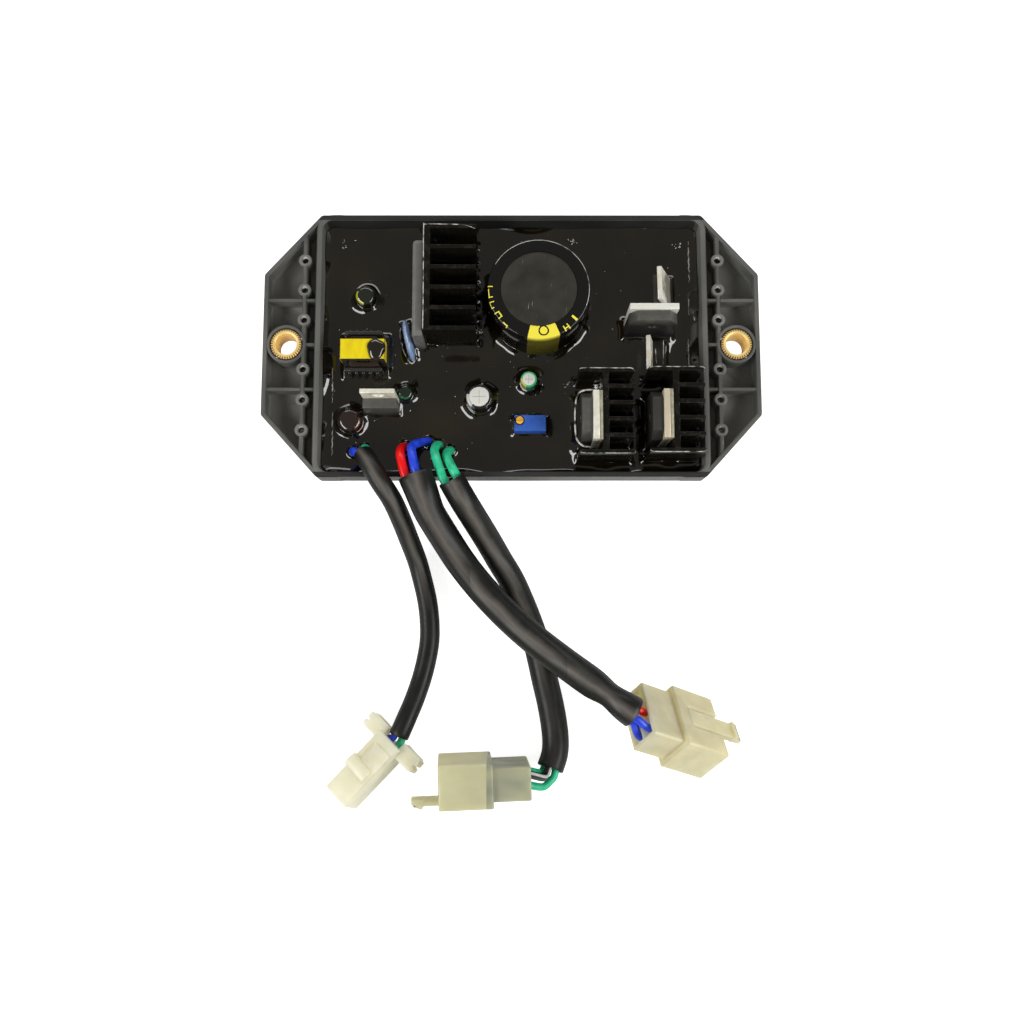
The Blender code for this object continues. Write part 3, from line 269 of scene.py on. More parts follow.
nylon_colour = nylon.coats(
    nylon.mix(nylon.ramp(cloudy, 0.35, 0.7), tint(82, 83, 80), tint(102, 101, 97)),
    (dust * 0.35, tint(128, 126, 120)), (pins * 0.3, tint(120, 118, 112)),
    (boss_painted_light * 0.3, tint(168, 166, 160)), (glints, tint(240, 240, 236)), (inner_wall_shade * 0.85, tint(22, 22, 20)),
    (east.beyond(59.0) * (height < 13.5) * 0.3, tint(128, 127, 122)),
    (rim_sides * 0.2, tint(130, 130, 126)), (rim_ends * 0.9, tint(24, 24, 23)))
nylon.dress(nylon_colour, 0.34 + fine * 0.12 + cloudy * 0.1 + rim_ends * 0.3,
            fine + nylon.grain(2.4) * 0.8, 0.02)
wear(finished_copy("case_moulding", "case", 0.16, joined=False), nylon, "case_nylon")

# The bushes. Two brass sleeves, turned, knurled outside and pressed into the ears; a fixing screw goes
# through each.
def turned(name, centre, profile, steps):
    """A round piece spun from its outline of (radius, height) pairs, as on a lathe."""
    start = Vector((centre[0] + profile[0][0], centre[1], profile[0][1])) * MM
    bpy.ops.mesh.primitive_plane_add(size=0.001, location=start)
    piece = bpy.context.object
    piece.name = name
    bpy.ops.object.mode_set(mode="EDIT")
    bpy.ops.mesh.select_all(action="SELECT")
    bpy.ops.mesh.merge(type="CENTER")
    for (radius, height), (after, level) in zip(profile, profile[1:]):
        step = Vector((after - radius, 0.0, level - height)) * MM
        bpy.ops.mesh.extrude_vertices_move(TRANSFORM_OT_translate={"value": step})
    bpy.ops.mesh.select_all(action="SELECT")
    axle = Vector((*centre, 0.0)) * MM
    bpy.ops.mesh.spin(steps=steps, angle=2 * math.pi, center=axle, axis=(0.0, 0.0, 1.0))
    bpy.ops.mesh.select_all(action="SELECT")
    bpy.ops.mesh.remove_doubles(threshold=0.001 * MM)
    bpy.ops.mesh.normals_make_consistent(inside=False)
    bpy.ops.object.mode_set(mode="OBJECT")
    bpy.ops.object.transform_apply()
    bpy.ops.object.shade_smooth_by_angle(angle=math.radians(38.0))
    return piece


bush_centre = 67.5
bush_outline = (
    (3.1, 10.5), (3.5, 10.1), (4.3, 10.1), (4.65, 10.5), (4.65, 17.6), (4.3, 17.95), (3.55, 17.95),
    (3.25, 17.75), (3.1, 17.4), (3.1, 10.5),
)
teeth = 36
brass = Finish("bush_brass", (0.98, 0.72, 0.34), 0.4, 0.45)
tarnish = brass.grain(1.6, 3.0)
gold = brass.mix(brass.ramp(tarnish, 0.35, 0.72), (1.0, 0.8, 0.36), (1.0, 0.68, 0.22))
east, north, _ = brass.axes()
past = abs(east) - bush_centre
outward = (past ** 2.0 + north ** 2.0) ** 0.5
ticks = (past.maths("ARCTAN2", north, past) * teeth).wave()
brass.dress(brass.mix((outward > 3.95) * (ticks > 0.0), gold, (0.3, 0.13, 0.02)),
            0.36 + tarnish * 0.2, brass.grain(0.12, 1.0, (0.08, 0.08, 1.0)), 0.02)
for name, side in (("bush_left", -1), ("bush_right", 1)):
    bush = turned("brass_" + name, (side * bush_centre, 0.0), bush_outline, teeth * 4)
    middle = side * bush_centre * MM
    for vertex in bush.data.vertices:
        across = Vector((vertex.co.x - middle, vertex.co.y))
        if across.length > 4.2 * MM:
            across *= 1.0 - 0.016 * (1.0 - math.cos(math.atan2(across.y, across.x) * teeth))
            vertex.co.x = middle + across.x
            vertex.co.y = across.y
    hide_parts(name)
    wear(bush, brass, "brass")

# The circuit board. A plate of green glass laminate that stands on four posts of the case; the resin
# hides it, so its own solid serves.
laminate = Finish("board_laminate", (0.03, 0.12, 0.05), 0.45)
east, north, _ = laminate.axes()
threads = 2 * math.pi / 0.9
weave = (east * threads).wave() + (north * threads).wave()
laminate.dress(laminate.mix(laminate.ramp(weave, -1.6, 1.6), (0.02, 0.09, 0.04), (0.04, 0.15, 0.06)),
               0.4 + laminate.grain(2) * 0.15, weave, 0.01)
nodes["circuit_board"].data.materials.clear()
nodes["circuit_board"].data.materials.append(laminate.material)

# The heat sinks. Three lengths of aluminium extrusion, anodised black, stand on end: a tall comb
# behind the bridge and two smaller ones that hold a transistor each. The resin wets their feet.
sink_top = 29.0
anodised = Finish("sink_anodised", (0.006, 0.006, 0.005), 0.3, 0.0, Specular_IOR_Level=0.2)
_, _, height = anodised.axes()
drawn = anodised.grain(0.22, 2.0, (1.0, 1.0, 0.015))
blotch = anodised.grain(3.5, 3.0)
black = anodised.mix(anodised.ramp(drawn, 0.3, 0.75), (0.004, 0.004, 0.003), (0.012, 0.011, 0.008))
worn = (height > sink_top - 0.14) * anodised.ramp(anodised.grain(2.2, 3.0), 0.52, 0.62)
black = anodised.mix(worn * 0.12, black, (0.09, 0.085, 0.075))
grit = anodised.ramp(anodised.grain(1.3, 1.0), 0.66, 0.74)
anodised.dress(black, 0.1 + anodised.ramp(blotch, 0.35, 0.65) * 0.1, drawn * 0.4 + grit * 3.0, 0.03)
for name in ("heat_sink_left", "heat_sink_middle", "heat_sink_right"):
    wear(finished_copy(name + "_comb", name, 0.14), anodised, "sink")

# The power packages. Six chips in moulded black epoxy, each on a tinned copper tab with a screw hole,
# soldered upright by three legs; a grey pad keeps two of them off their heat sinks.
tinned = Finish("tinned_tab", (0.7, 0.68, 0.6), 0.34, 0.85)
stain = tinned.grain(2.6, 3.0)
rolled = tinned.grain(0.14, 2.0, (1.0, 1.0, 0.06))
# A painted shadow darkens the back of one leaning tab, and painted light brightens the upper tabs towards the
# east end.
shaded = tinned.disc((48.0, 17.2, 16.0), 4.4, 1.6)
east, north, height = tinned.axes()
painted_tab_light = (east > 30.0) * north.within(2.0, 14.0) * (height > 18.0)
tin = tinned.coats(
    tinned.mix(tinned.ramp(stain, 0.42, 0.72), (1.0, 0.98, 0.86), (0.78, 0.71, 0.56)),
    (shaded * 0.75, (0.16, 0.155, 0.125)), (painted_tab_light * 0.6, (1.0, 1.0, 0.95)),
    ((east > 40.0) * (north < -12.0) * 0.7, (0.66, 0.54, 0.36)))
tinned.dress(tin, 0.26 + rolled * 0.2, rolled, 0.02)
tinned.feed("Metallic", 0.35 - tinned.ramp(stain, 0.5, 0.75) * 0.2)
epoxy = Finish("chip_epoxy", (0.03, 0.029, 0.027), 0.4)
pits = epoxy.grain(0.18, 2.0)
east, north, height = epoxy.axes()
wetted = (east > 40.0) * (north < -12.0)
# The chips are painted paler towards their tops and round the regulator, and less so where they are wetted.
paler_share = epoxy.ramp(height, 24.0, 28.6) + epoxy.disc((-38.8, -17.5, 20.0), 7.0, 1.0)
paler_share = paler_share * (1.0 - wetted * 0.8)
grey = epoxy.mix(epoxy.grain(2.5), (0.06, 0.058, 0.05), (0.11, 0.108, 0.095))
epoxy.dress(epoxy.mix(paler_share, (0.02, 0.019, 0.017), grey), 0.32 + pits * 0.25, pits, 0.015)
mica = Finish("silicone_pad", (0.5, 0.46, 0.34), 0.55)
mica.dress(mica.mix(mica.ramp(mica.grain(1.4), 0.35, 0.7), (0.3, 0.285, 0.2), (0.5, 0.47, 0.35)),
           0.45 + mica.grain(0.8) * 0.2, mica.grain(0.3), 0.03)
for name in ("regulator", "thyristor", "transistor_upper", "transistor_lower", "transistor_middle",
             "transistor_right"):
    wear(finished_copy(name + "_plate", name + "_tab", 0.16), tinned, "tab")
    wear(finished_copy(name + "_chip", name + "_body", 0.2), epoxy, "black_epoxy")
for name in ("transistor_middle_pad", "transistor_right_pad"):
    wear(finished_copy(name + "_sheet", name, 0.1), mica, "pad")

# The reservoir capacitor. A large aluminium can in a glossy black shrink sleeve that curls over its
# rim onto a dull end disc; the sleeve is printed with a yellow stripe for the minus side and marks.
can_centre = (8.0, 13.0)
can_top = 30.0
can_outline = (
    (14.3, 7.25), (14.95, 7.8), (14.95, 9.2), (14.2, 10.2), (14.95, 11.2), (14.97, 29.0), (14.93, 29.3),
    (14.8, 29.55), (14.6, 29.7), (14.3, 29.78), (13.3, 29.86), (12.2, 29.93), (11.6, 29.92), (11.25, 29.8),
    (11.1, 29.55), (11.1, 28.6),
)
shrunk = Finish("shrink_black", (0.004, 0.004, 0.004), 0.1)
_, _, height = shrunk.axes()
around, outward = shrunk.round(can_centre)
# Print on the sleeve: from and to an angle in degrees, then from and to a distance under the top, in
# millimetres; the stripe first, then plain bars
stripe = (-103.0, -66.0)
bars = (
    (-42.0, -39.0, 1.5, 3.6), (-53.5, -52.0, 2.2, 4.4), (-59.0, -57.5, 2.2, 4.4), (-57.5, -53.5, 3.0, 3.4),
    (177.0, 178.2, 2.4, 4.2), (-179.5, -170.0, 3.6, 4.0), (-170.0, -168.8, 2.6, 4.2),
    (-164.0, -156.0, 4.1, 4.5), (-164.0, -162.8, 2.6, 4.5), (-157.0, -155.8, 3.2, 4.5),
    (-150.0, -148.8, 2.4, 4.4), (-148.8, -142.0, 2.4, 2.8), (-143.0, -141.8, 2.4, 4.0),
    (-136.0, -129.0, 3.4, 3.8), (-130.0, -128.8, 3.4, 5.0),
)
run = can_top - height + outward - 11.1
marks = around.within(*stripe) * (run > 0.3)
oval = ((around + 84.0) / 6.5) ** 2.0 + ((run - 1.6) / 1.5) ** 2.0
marks = marks * (1.0 - oval.within(0.6, 1.15))
for low, high, upper, lower in bars:
    marks = marks + around.within(low, high) * run.within(upper, lower)
# A painted highlight: a thin pale line round the can's outer shoulder, along its back arc, broken by noise.
painted_shoulder_highlight = shrunk.ramp(abs(run - 3.8), 0.16, 0.05) * around.within(-20.0, 150.0)
painted_shoulder_highlight = painted_shoulder_highlight * shrunk.ramp(shrunk.grain(4), 0.34, 0.5)
# The print is painted darker down the can's side, painted shade, with a faint noise.
print_shade_falloff = shrunk.ramp(run, 7.0, 4.5) * 0.84 + 0.1 + shrunk.grain(1.2, 2.0) * 0.06
printed = shrunk.mix(marks * print_shade_falloff, (0.004, 0.004, 0.0037), tint(255, 240, 78))
pull = shrunk.grain(1.6, 2.0, (1.0, 1.0, 0.25))
shrunk.dress(shrunk.mix(painted_shoulder_highlight, printed, tint(216, 216, 212)),
                   0.09 + shrunk.grain(3, 2.0) * 0.08 + marks * 0.2, pull, 0.04)
can = turned("reservoir_capacitor", can_centre, can_outline, 96)
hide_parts("main_capacitor")
wear(can, shrunk, "shrink_black")

end_disc = Finish("can_end_dull", tint(46, 45, 38), 0.5)
scuff = end_disc.grain(5, 4.0)
scratch = end_disc.ramp(end_disc.grain(0.6, 2.0, (1.0, 0.12, 1.0)), 0.68, 0.74)
lane = end_disc.ramp(end_disc.grain(4.2, 1.0), 0.52, 0.62)
disc_colour = end_disc.mix(end_disc.ramp(scuff, 0.3, 0.7), tint(38, 37, 31), tint(52, 50, 42))
disc_colour = end_disc.mix(scratch * lane * 0.8, disc_colour, tint(150, 148, 138))
end_disc.dress(disc_colour, 0.42 + scuff * 0.18 - scratch * lane * 0.15,
               end_disc.grain(0.25, 2.0) + scratch * lane * 2.0, 0.015)
face = ((0.0, 28.6), (11.1, 28.6), (11.16, 29.5), (10.9, 29.58), (6.0, 29.62), (0.0, 29.62))
wear(turned("reservoir_end_disc", can_centre, face, 96), end_disc, "black_epoxy")

# The small capacitors. Five little cans with a groove at the seal; two keep their bare tops and
# coloured sleeves, and a skin of resin has run over the other three.
foot = 7.2
# Each can: name, slot, middle, width, height, tints of the sleeve and stripe, and the stripe's angles
small_cans = (
    ("upper_left", "shrink_black", (-44.2, 15.5), 6.3, 9.8, (24, 33, 17), (196, 196, 60), (150.0, 262.0)),
    ("by_regulator", "can_green", (-31.9, -14.1), 4.7, 8.3, (18, 42, 28), (60, 150, 104), (-160.0, -60.0)),
    ("lower_left", "shrink_black", (-48.5, -22.6), 7.6, 8.6, (40, 26, 19), (104, 52, 38), (-60.0, 10.0)),
    ("silver", "can_silver", (-9.5, -16.5), 7.8, 12.6, (24, 24, 24), (214, 214, 208), (168.0, 232.0)),
    ("green", "can_green", (5.2, -10.8), 5.0, 10.8, (62, 190, 126), (216, 214, 92), (176.0, 250.0)),
)
for name, slot, centre, width, tall, sleeve_tint, stripe_tint, angles in small_cans:
    coated = name not in ("silver", "green")
    radius = width / 2 - 0.03
    top = foot + tall
    outline = [(0.0, foot), (radius * 0.9, foot), (radius, foot + radius * 0.2),
               (radius, foot + radius * 0.5), (radius * 0.9, foot + radius * 0.65),
               (radius, foot + radius * 0.8)]
    if coated:
        outline += [(radius, top - radius * 0.55), (radius * 0.96, top - radius * 0.3),
                    (radius * 0.85, top - radius * 0.13), (radius * 0.6, top - radius * 0.03), (0.0, top)]
    else:
        outline += [(radius, top - 0.62), (radius * 0.985, top - 0.32), (radius * 0.94, top - 0.1),
                    (radius * 0.87, top - 0.02), (radius * 0.8, top - 0.05), (radius * 0.76, top - 0.16),
                    (radius * 0.75, top - 0.5)]
    skin = Finish("can_sleeve_" + name, tint(*sleeve_tint), 0.12, Coat_Weight=0.8, Coat_Roughness=0.04)
    around, outward = skin.round(centre)
    band = around.within(*angles) + (around + 360.0).within(*angles)
    band = band * (outward.within(radius * 0.72, radius * 0.93) * 0.8 if coated else outward > radius * 0.7)
    ink = skin.mix(band, tint(*sleeve_tint), tint(*stripe_tint))
    skin.dress(skin.mix(skin.grain(1.5) * 0.3, ink, (0.01, 0.01, 0.008)),
               0.07 + skin.grain(1.2) * 0.1, skin.grain(1.1, 2.0), 0.05 if coated else 0.02)
    can = turned("small_can_" + name, centre, outline, 48)
    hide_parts("capacitor_" + name)
    wear(can, skin, slot)
    if coated:
        continue
    bare = Finish("can_end_" + name, (0.95, 0.95, 0.9), 0.34, 0.2)
    east, north, _ = bare.axes()
    aside, along = abs(east - centre[0]), abs(north - centre[1])
    arm = 0.5 * radius
    vent = (along < 0.1) * (aside < arm) + (aside < 0.1) * (along < arm)
    brushed = bare.grain(0.16, 2.0, (0.15, 1.0, 1.0))
    bare.dress(bare.mix(vent * 0.35, (0.86, 0.86, 0.81), (0.25, 0.25, 0.24)),
               0.24 + brushed * 0.2, brushed * 0.3 - vent * 4.0, 0.04)
    end = ((0.0, top - 0.6), (radius * 0.75, top - 0.6), (radius * 0.755, top - 0.2),
           (radius * 0.7, top - 0.14), (0.0, top - 0.1))
    wear(turned("small_can_end_" + name, centre, end, 48), bare, "can_silver")

# The bridge rectifier. A flat epoxy block with a bevelled corner, on four legs, that the tall heat
# sink stands behind.
block = Finish("bridge_epoxy", (0.04, 0.039, 0.036), 0.38)
gritty = block.grain(0.2, 2.0)
block.dress(block.mix(block.grain(3), (0.13, 0.13, 0.12), (0.2, 0.198, 0.185)),
                  0.3 + gritty * 0.25, gritty, 0.02)
wear(finished_copy("bridge_block", "bridge_rectifier", 0.22), block, "black_epoxy")

# The varistor. A disc of blue epoxy on edge beside the bridge: it was dipped, so it is fullest in the
# middle, and its lacquer runs down over the legs.
disc_radius = 6.45
bpy.ops.mesh.primitive_uv_sphere_add(
    segments=48, ring_count=24, radius=disc_radius * MM, location=(0.0, 0.0, 0.0))
dipped = bpy.context.object
dipped.name = "blue_varistor"
for vertex in dipped.data.vertices:
    spot = vertex.co
    rim = Vector((spot.y, spot.z)).length / (disc_radius * MM)
    spot.x = math.copysign((1.0 - rim ** 3.2) ** 0.55 * 1.25 * MM, spot.x) if rim < 1.0 else 0.0
dipped.rotation_euler = (0.0, 0.0, math.radians(12.0))
dipped.location = Vector((-31.1, 2.2, 13.7)) * MM
bpy.ops.object.transform_apply()
bpy.ops.object.shade_smooth()
lacquer = Finish("varistor_lacquer", (0.03, 0.09, 0.36), 0.14, Coat_Weight=0.5, Coat_Roughness=0.05)
runs = lacquer.grain(1.8, 2.0, (1.0, 1.0, 0.4))
lacquer.dress(lacquer.mix(lacquer.ramp(runs, 0.3, 0.7), tint(128, 157, 208), tint(170, 193, 226)),
              0.1 + runs * 0.12, runs, 0.12)
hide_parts("disc_varistor")
wear(dipped, lacquer, "blue_epoxy")

# The transformer. A ferrite core round a ribbed bobbin of black plastic with its copper winding,
# under a wrap of yellow tape; a blob of resin has dried on top of it.
wrap_middle = Vector((-44.0, -2.7, 19.7))
wrap_size = Vector((13.3, 6.0, 5.0))
tape = Finish("yellow_tape", tint(250, 226, 24), 0.3, Coat_Weight=0.3, Coat_Roughness=0.15)
crease = tape.grain(2.2, 2.0, (1.0, 0.4, 1.0))
tape.dress(tape.mix(tape.ramp(crease, 0.3, 0.75), tint(246, 224, 14), tint(226, 198, 18)),
           0.25 + crease * 0.15, crease, 0.06)
ferrite = Finish("ferrite_core", (0.03, 0.028, 0.025), 0.5)
specks = ferrite.grain(0.22, 2.0)
ferrite.dress(ferrite.mix(specks, (0.02, 0.019, 0.018), (0.06, 0.056, 0.05)),
              0.4 + specks * 0.25, specks, 0.02)
wear(finished_copy("core_halves", "transformer_core", 0.2), ferrite, "core_tape")
bpy.ops.mesh.primitive_cube_add(size=1.0, location=wrap_middle * MM)
wrap = bpy.context.object
wrap.name = "core_yellow_wrap"
wrap.scale = wrap_size * MM
bpy.ops.object.transform_apply()
sheet = bmesh.new()
sheet.from_mesh(wrap.data)
bare_sides = [side for side in sheet.faces if abs(side.normal.y) > 0.5 or side.normal.z < -0.5]
bmesh.ops.delete(sheet, geom=bare_sides, context="FACES")
folds = [edge for edge in sheet.edges if len(edge.link_faces) == 2]
bmesh.ops.bevel(sheet, geom=folds, offset=0.5 * MM, segments=3, profile=0.5, affect="EDGES")
sheet.to_mesh(wrap.data)
sheet.free()
thickness = wrap.modifiers.new("tape_thickness", "SOLIDIFY")
thickness.thickness = 0.09 * MM
thickness.offset = -1.0
bpy.ops.object.modifier_apply(modifier="tape_thickness")
bpy.ops.object.shade_smooth_by_angle(angle=math.radians(38.0))
wear(wrap, tape, "core_tape")
bobbin = Finish("bobbin_plastic", (0.02, 0.02, 0.019), 0.2, Coat_Weight=0.5, Coat_Roughness=0.06)
lumps = bobbin.grain(1.2, 2.0)
bobbin.dress(bobbin.mix(lumps, (0.012, 0.012, 0.011), (0.04, 0.038, 0.034)),
                   0.12 + lumps * 0.2, lumps, 0.12)
wear(finished_copy("bobbin_frame", "transformer_bobbin", 0.18), bobbin, "bobbin")
copper = Finish("enamelled_copper", (0.05, 0.03, 0.02), 0.2, 0.2)
_, _, height = copper.axes()
turns = (height * (2 * math.pi / 0.32)).wave()
copper.dress(copper.mix(copper.ramp(turns, -1.0, 1.0), (0.012, 0.009, 0.006), (0.08, 0.045, 0.025)),
             0.22 + copper.grain(1) * 0.15, turns, 0.05)
wear(finished_copy("copper_winding", "transformer_winding", 0.1), copper, "winding")

# The trimmer. A blue box on three pins, with moulded rails along its foot; its brass screw has a slot
# and turns a wiper inside.
blue_box = Finish("trimmer_blue", tint(58, 104, 204), 0.36)
mottle = blue_box.grain(0.5, 3.0)
blue_box.dress(blue_box.mix(blue_box.grain(3), tint(42, 86, 180), tint(64, 108, 200)),
               0.3 + mottle * 0.18, mottle, 0.015)
wear(finished_copy("trimmer_box", "trimmer_body", 0.25), blue_box, "trimmer")
screw = Finish("trimmer_brass", (0.9, 0.42, 0.1), 0.4, 0.1)
worn = screw.grain(0.5, 2.0)
screw.feed("Base Color", screw.mix(worn, (1.0, 0.62, 0.1), (1.0, 0.5, 0.05)))
screw.feed("Roughness", 0.25 + worn * 0.2)
wear(finished_copy("trimmer_turn_screw", "trimmer_screw", 0.12), screw, "brass")

# The leads. Three black sleeves of soft plastic hold insulated wires; they come up out of the resin
# near one edge, bend over the rim and lie on the table, and each ends short of its connector.
def smooth_route(points, spacing):
    """Points every so often along a smooth curve through the given ones."""
    points = [Vector(point) for point in points]
    knots = [points[0] * 2 - points[1], *points, points[-1] * 2 - points[-2]]
    fine = []
    samples = 24
    for index in range(1, len(knots) - 2):
        a, b, c, d = knots[index - 1:index + 3]
        for sample in range(samples):
            t = sample / samples
            bend = 2 * b + (c - a) * t + (2 * a - 5 * b + 4 * c - d) * t ** 2
            fine.append(0.5 * (bend + (3 * b - a - 3 * c + d) * t ** 3))
    fine.append(knots[-2])
    total = sum((after - before).length for before, after in zip(fine, fine[1:]))
    count = max(4, round(total / spacing))
    route = [fine[0]]
    travelled = 0.0
    for before, after in zip(fine, fine[1:]):
        step = (after - before).length
        while len(route) < count and travelled + step >= total * len(route) / count:
            share = (total * len(route) / count - travelled) / step
            route.append(before.lerp(after, share))
        travelled += step
    route.append(fine[-1])
    return route


def made(name, shape, smooth=True):
    """The object of a shape built face by face."""
    mesh = bpy.data.meshes.new(name)
    shape.to_mesh(mesh)
    shape.free()
    if smooth:
        mesh.shade_smooth()
    piece = bpy.data.objects.new(name, mesh)
    scene.collection.objects.link(piece)
    return piece


def swept(name, route, rings, squash=None, around=32):
    """A tube swept along a route; each ring is (place along the route, shift, radius), in order."""
    frames = []
    for index, spot in enumerate(route):
        forward = (route[min(index + 1, len(route) - 1)] - route[max(index - 1, 0)]).normalized()
        if not frames:
            side = forward.cross(Vector((0.0, 0.0, 1.0)))
            side = side if side.length > 0.2 else forward.orthogonal()
        side = (side - forward * side.dot(forward)).normalized()
        frames.append((spot, side, forward.cross(side), forward))
    shell = bmesh.new()
    rows = []
    for index, shift, radius in rings:
        spot, side, up, forward = frames[index]
        wide, tall = squash[index] if squash else (1.0, 1.0)
        row = []
        for step in range(around):
            turn = 2 * math.pi * step / around
            reach = side * math.cos(turn) * wide + up * math.sin(turn) * tall
            row.append(shell.verts.new((spot + forward * shift + reach * radius) * MM))
        rows.append(row)
    layer = shell.loops.layers.uv.new("along")
    for low, (first, second) in enumerate(zip(rows, rows[1:])):
        for step in range(around):
            after = (step + 1) % around
            face = shell.faces.new((first[step], first[after], second[after], second[step]))
            corners = ((step, low), (step + 1, low), (step + 1, low + 1), (step, low + 1))
            for loop, (turn, level) in zip(face.loops, corners):
                loop[layer].uv = (turn / around, level / len(rows))
    shell.faces.new(list(reversed(rows[0])))
    shell.faces.new(rows[-1])
    bmesh.ops.recalc_face_normals(shell, faces=shell.faces)
    return made(name, shell)


sleeve_lines = {
    "left": (3.0, (
        (-43.6, -33.6, 17.6), (-41.0, -37.4, 21.4), (-38.1, -42.2, 22.3), (-34.9, -47.2, 19.6),
        (-32.6, -52.6, 14.8), (-30.7, -58.1, 9.6), (-28.7, -63.9, 5.4), (-27.1, -69.9, 3.5),
        (-25.7, -75.9, 3.1), (-24.9, -82.0, 3.1), (-24.8, -88.0, 3.1), (-25.7, -94.0, 3.1),
        (-27.2, -100.0, 3.2), (-29.2, -106.0, 4.2), (-30.7, -109.8, 5.4), (-32.2, -113.4, 6.1),
        (-33.5, -116.4, 6.3),
    )),
    "middle": (4.5, (
        (-27.9, -40.2, 23.2), (-26.1, -44.9, 22.9), (-24.1, -50.4, 20.5), (-22.3, -53.6, 18.8),
        (-19.1, -58.7, 15.8), (-15.4, -64.4, 13.4), (-10.9, -70.3, 12.1), (-5.7, -76.2, 11.9),
        (0.2, -82.1, 12.3), (7.0, -88.0, 13.1), (14.4, -93.7, 15.0), (21.4, -98.8, 19.3),
        (26.9, -102.7, 24.2), (30.7, -105.6, 26.7), (34.1, -107.9, 26.5),
    )),
    "right": (4.0, (
        (-17.5, -41.6, 22.5), (-14.1, -47.4, 20.5), (-10.6, -52.8, 15.9), (-7.1, -58.2, 10.7),
        (-3.6, -64.0, 6.6), (0.0, -69.9, 4.6), (2.8, -76.0, 4.1), (5.2, -82.0, 4.1),
        (7.3, -88.0, 4.1), (8.8, -94.0, 4.1), (10.1, -100.0, 4.1), (11.5, -105.9, 4.1),
        (12.6, -111.8, 4.1), (13.2, -117.4, 4.2), (12.9, -121.7, 4.7), (11.5, -125.8, 5.5),
    )),
}
rubber = Finish("sleeve_black", tint(46, 47, 47), 0.4, Specular_IOR_Level=0.32)
rub = rubber.grain(6, 3.0)
skin = rubber.grain(0.5, 2.0)
east, north, _ = rubber.axes()
# A painted highlight: a lighter streak along the top of each sleeve, faded out towards the connector ends of
# the left and right sleeves.
painted_sheen = rubber.ramp(abs(rubber.across() + rub * 0.06 - 0.79), 0.085, 0.0) ** 1.2
painted_sheen = painted_sheen * (1.0 - (east < -12.0) * rubber.ramp(north, -62.0, -80.0))
painted_sheen = painted_sheen * (1.0 - (east < 16.0) * rubber.ramp(north, -88.0, -104.0) * 0.8)
sleeve_colour = rubber.mix(rubber.ramp(rub, 0.3, 0.7), tint(24, 25, 25), tint(33, 33, 31))
rubber.dress(rubber.mix(painted_sheen * 0.9, sleeve_colour, tint(108, 103, 97)),
                    0.32 + rub * 0.16, rub + skin * 0.12, 0.06)
wall = 0.45
leads = {}
for lead, (radius, points) in sleeve_lines.items():
    route = smooth_route(points, 1.4)
    last = len(route) - 1
    mouth = [(3, 0.0, radius - wall), (0, 0.15, radius - wall), (0, 0.0, radius - wall * 0.7),
             (0, 0.0, radius - 0.15), (0, 0.15, radius)]
    rings = mouth + [(index, 0.0, radius) for index in range(1, last)]
    rings += [(last - index, -shift, size) for index, shift, size in reversed(mouth)]
    squash = None
    if lead == "middle":
        easing = [max(0.0, 1.0 - index / 9) for index in range(last + 1)]
        pinch = [math.exp(-((last - index - 6) / 3.2) ** 2) for index in range(last + 1)]
        squash = [(1.0 + 0.13 * ease - 0.2 * nip, 1.0 - 0.2 * ease - 0.1 * nip)
                  for ease, nip in zip(easing, pinch)]
    sleeve = wear(swept("lead_sleeve_" + lead, route, rings, squash), rubber, "sleeve")
    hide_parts("sleeve_" + lead)
    leads[lead] = (sleeve, route, radius, [])

# The wires. Stranded copper in soft coloured insulation: two or more rise out of the resin into each
# sleeve, and two or three leave it for the cells of its connector.
def off_end(route, ahead, spot):
    """A point off the last end of a sleeve: ahead of it, and aside and above its middle."""
    forward = (route[-1] - route[-2]).normalized()
    right = forward.cross(Vector((0.0, 0.0, 1.0))).normalized()
    above = right.cross(forward)
    return route[-1] + forward * ahead + right * spot[0] + above * spot[1]


box_wires = (
    ("wire_blue_left", "left", (-1.4, 0.0), (
        (-47.6, -31.8, 8.5), (-47.6, -31.8, 11.5), (-47.4, -31.9, 13.6), (-46.6, -32.3, 15.5))),
    ("wire_green_left", "left", (1.4, 0.0), (
        (-44.2, -30.9, 8.5), (-44.2, -30.9, 11.5), (-43.9, -31.0, 14.0))),
    ("wire_red_middle", "middle", (-2.7, 0.0), (
        (-31.9, -30.2, 8.5), (-31.9, -30.2, 12.0), (-32.3, -31.2, 16.5), (-32.5, -33.2, 20.4),
        (-32.1, -35.6, 22.5))),
    ("wire_blue_middle", "middle", (0.6, 0.0), (
        (-24.8, -28.7, 8.5), (-24.8, -28.7, 11.5), (-25.4, -29.0, 14.0), (-27.8, -30.0, 16.6),
        (-29.3, -31.5, 19.3), (-28.9, -34.3, 22.0))),
    ("wire_green_inner", "right", (-1.9, 0.0), (
        (-21.6, -29.8, 8.5), (-21.6, -29.8, 11.5), (-22.2, -30.2, 14.6), (-22.7, -32.4, 18.4),
        (-21.9, -35.4, 21.2))),
    ("wire_green_outer", "right", (1.9, 0.0), (
        (-18.2, -31.4, 8.5), (-18.2, -31.4, 11.5), (-18.7, -31.9, 14.6), (-19.1, -33.6, 18.0),
        (-18.4, -35.9, 20.7))),
)
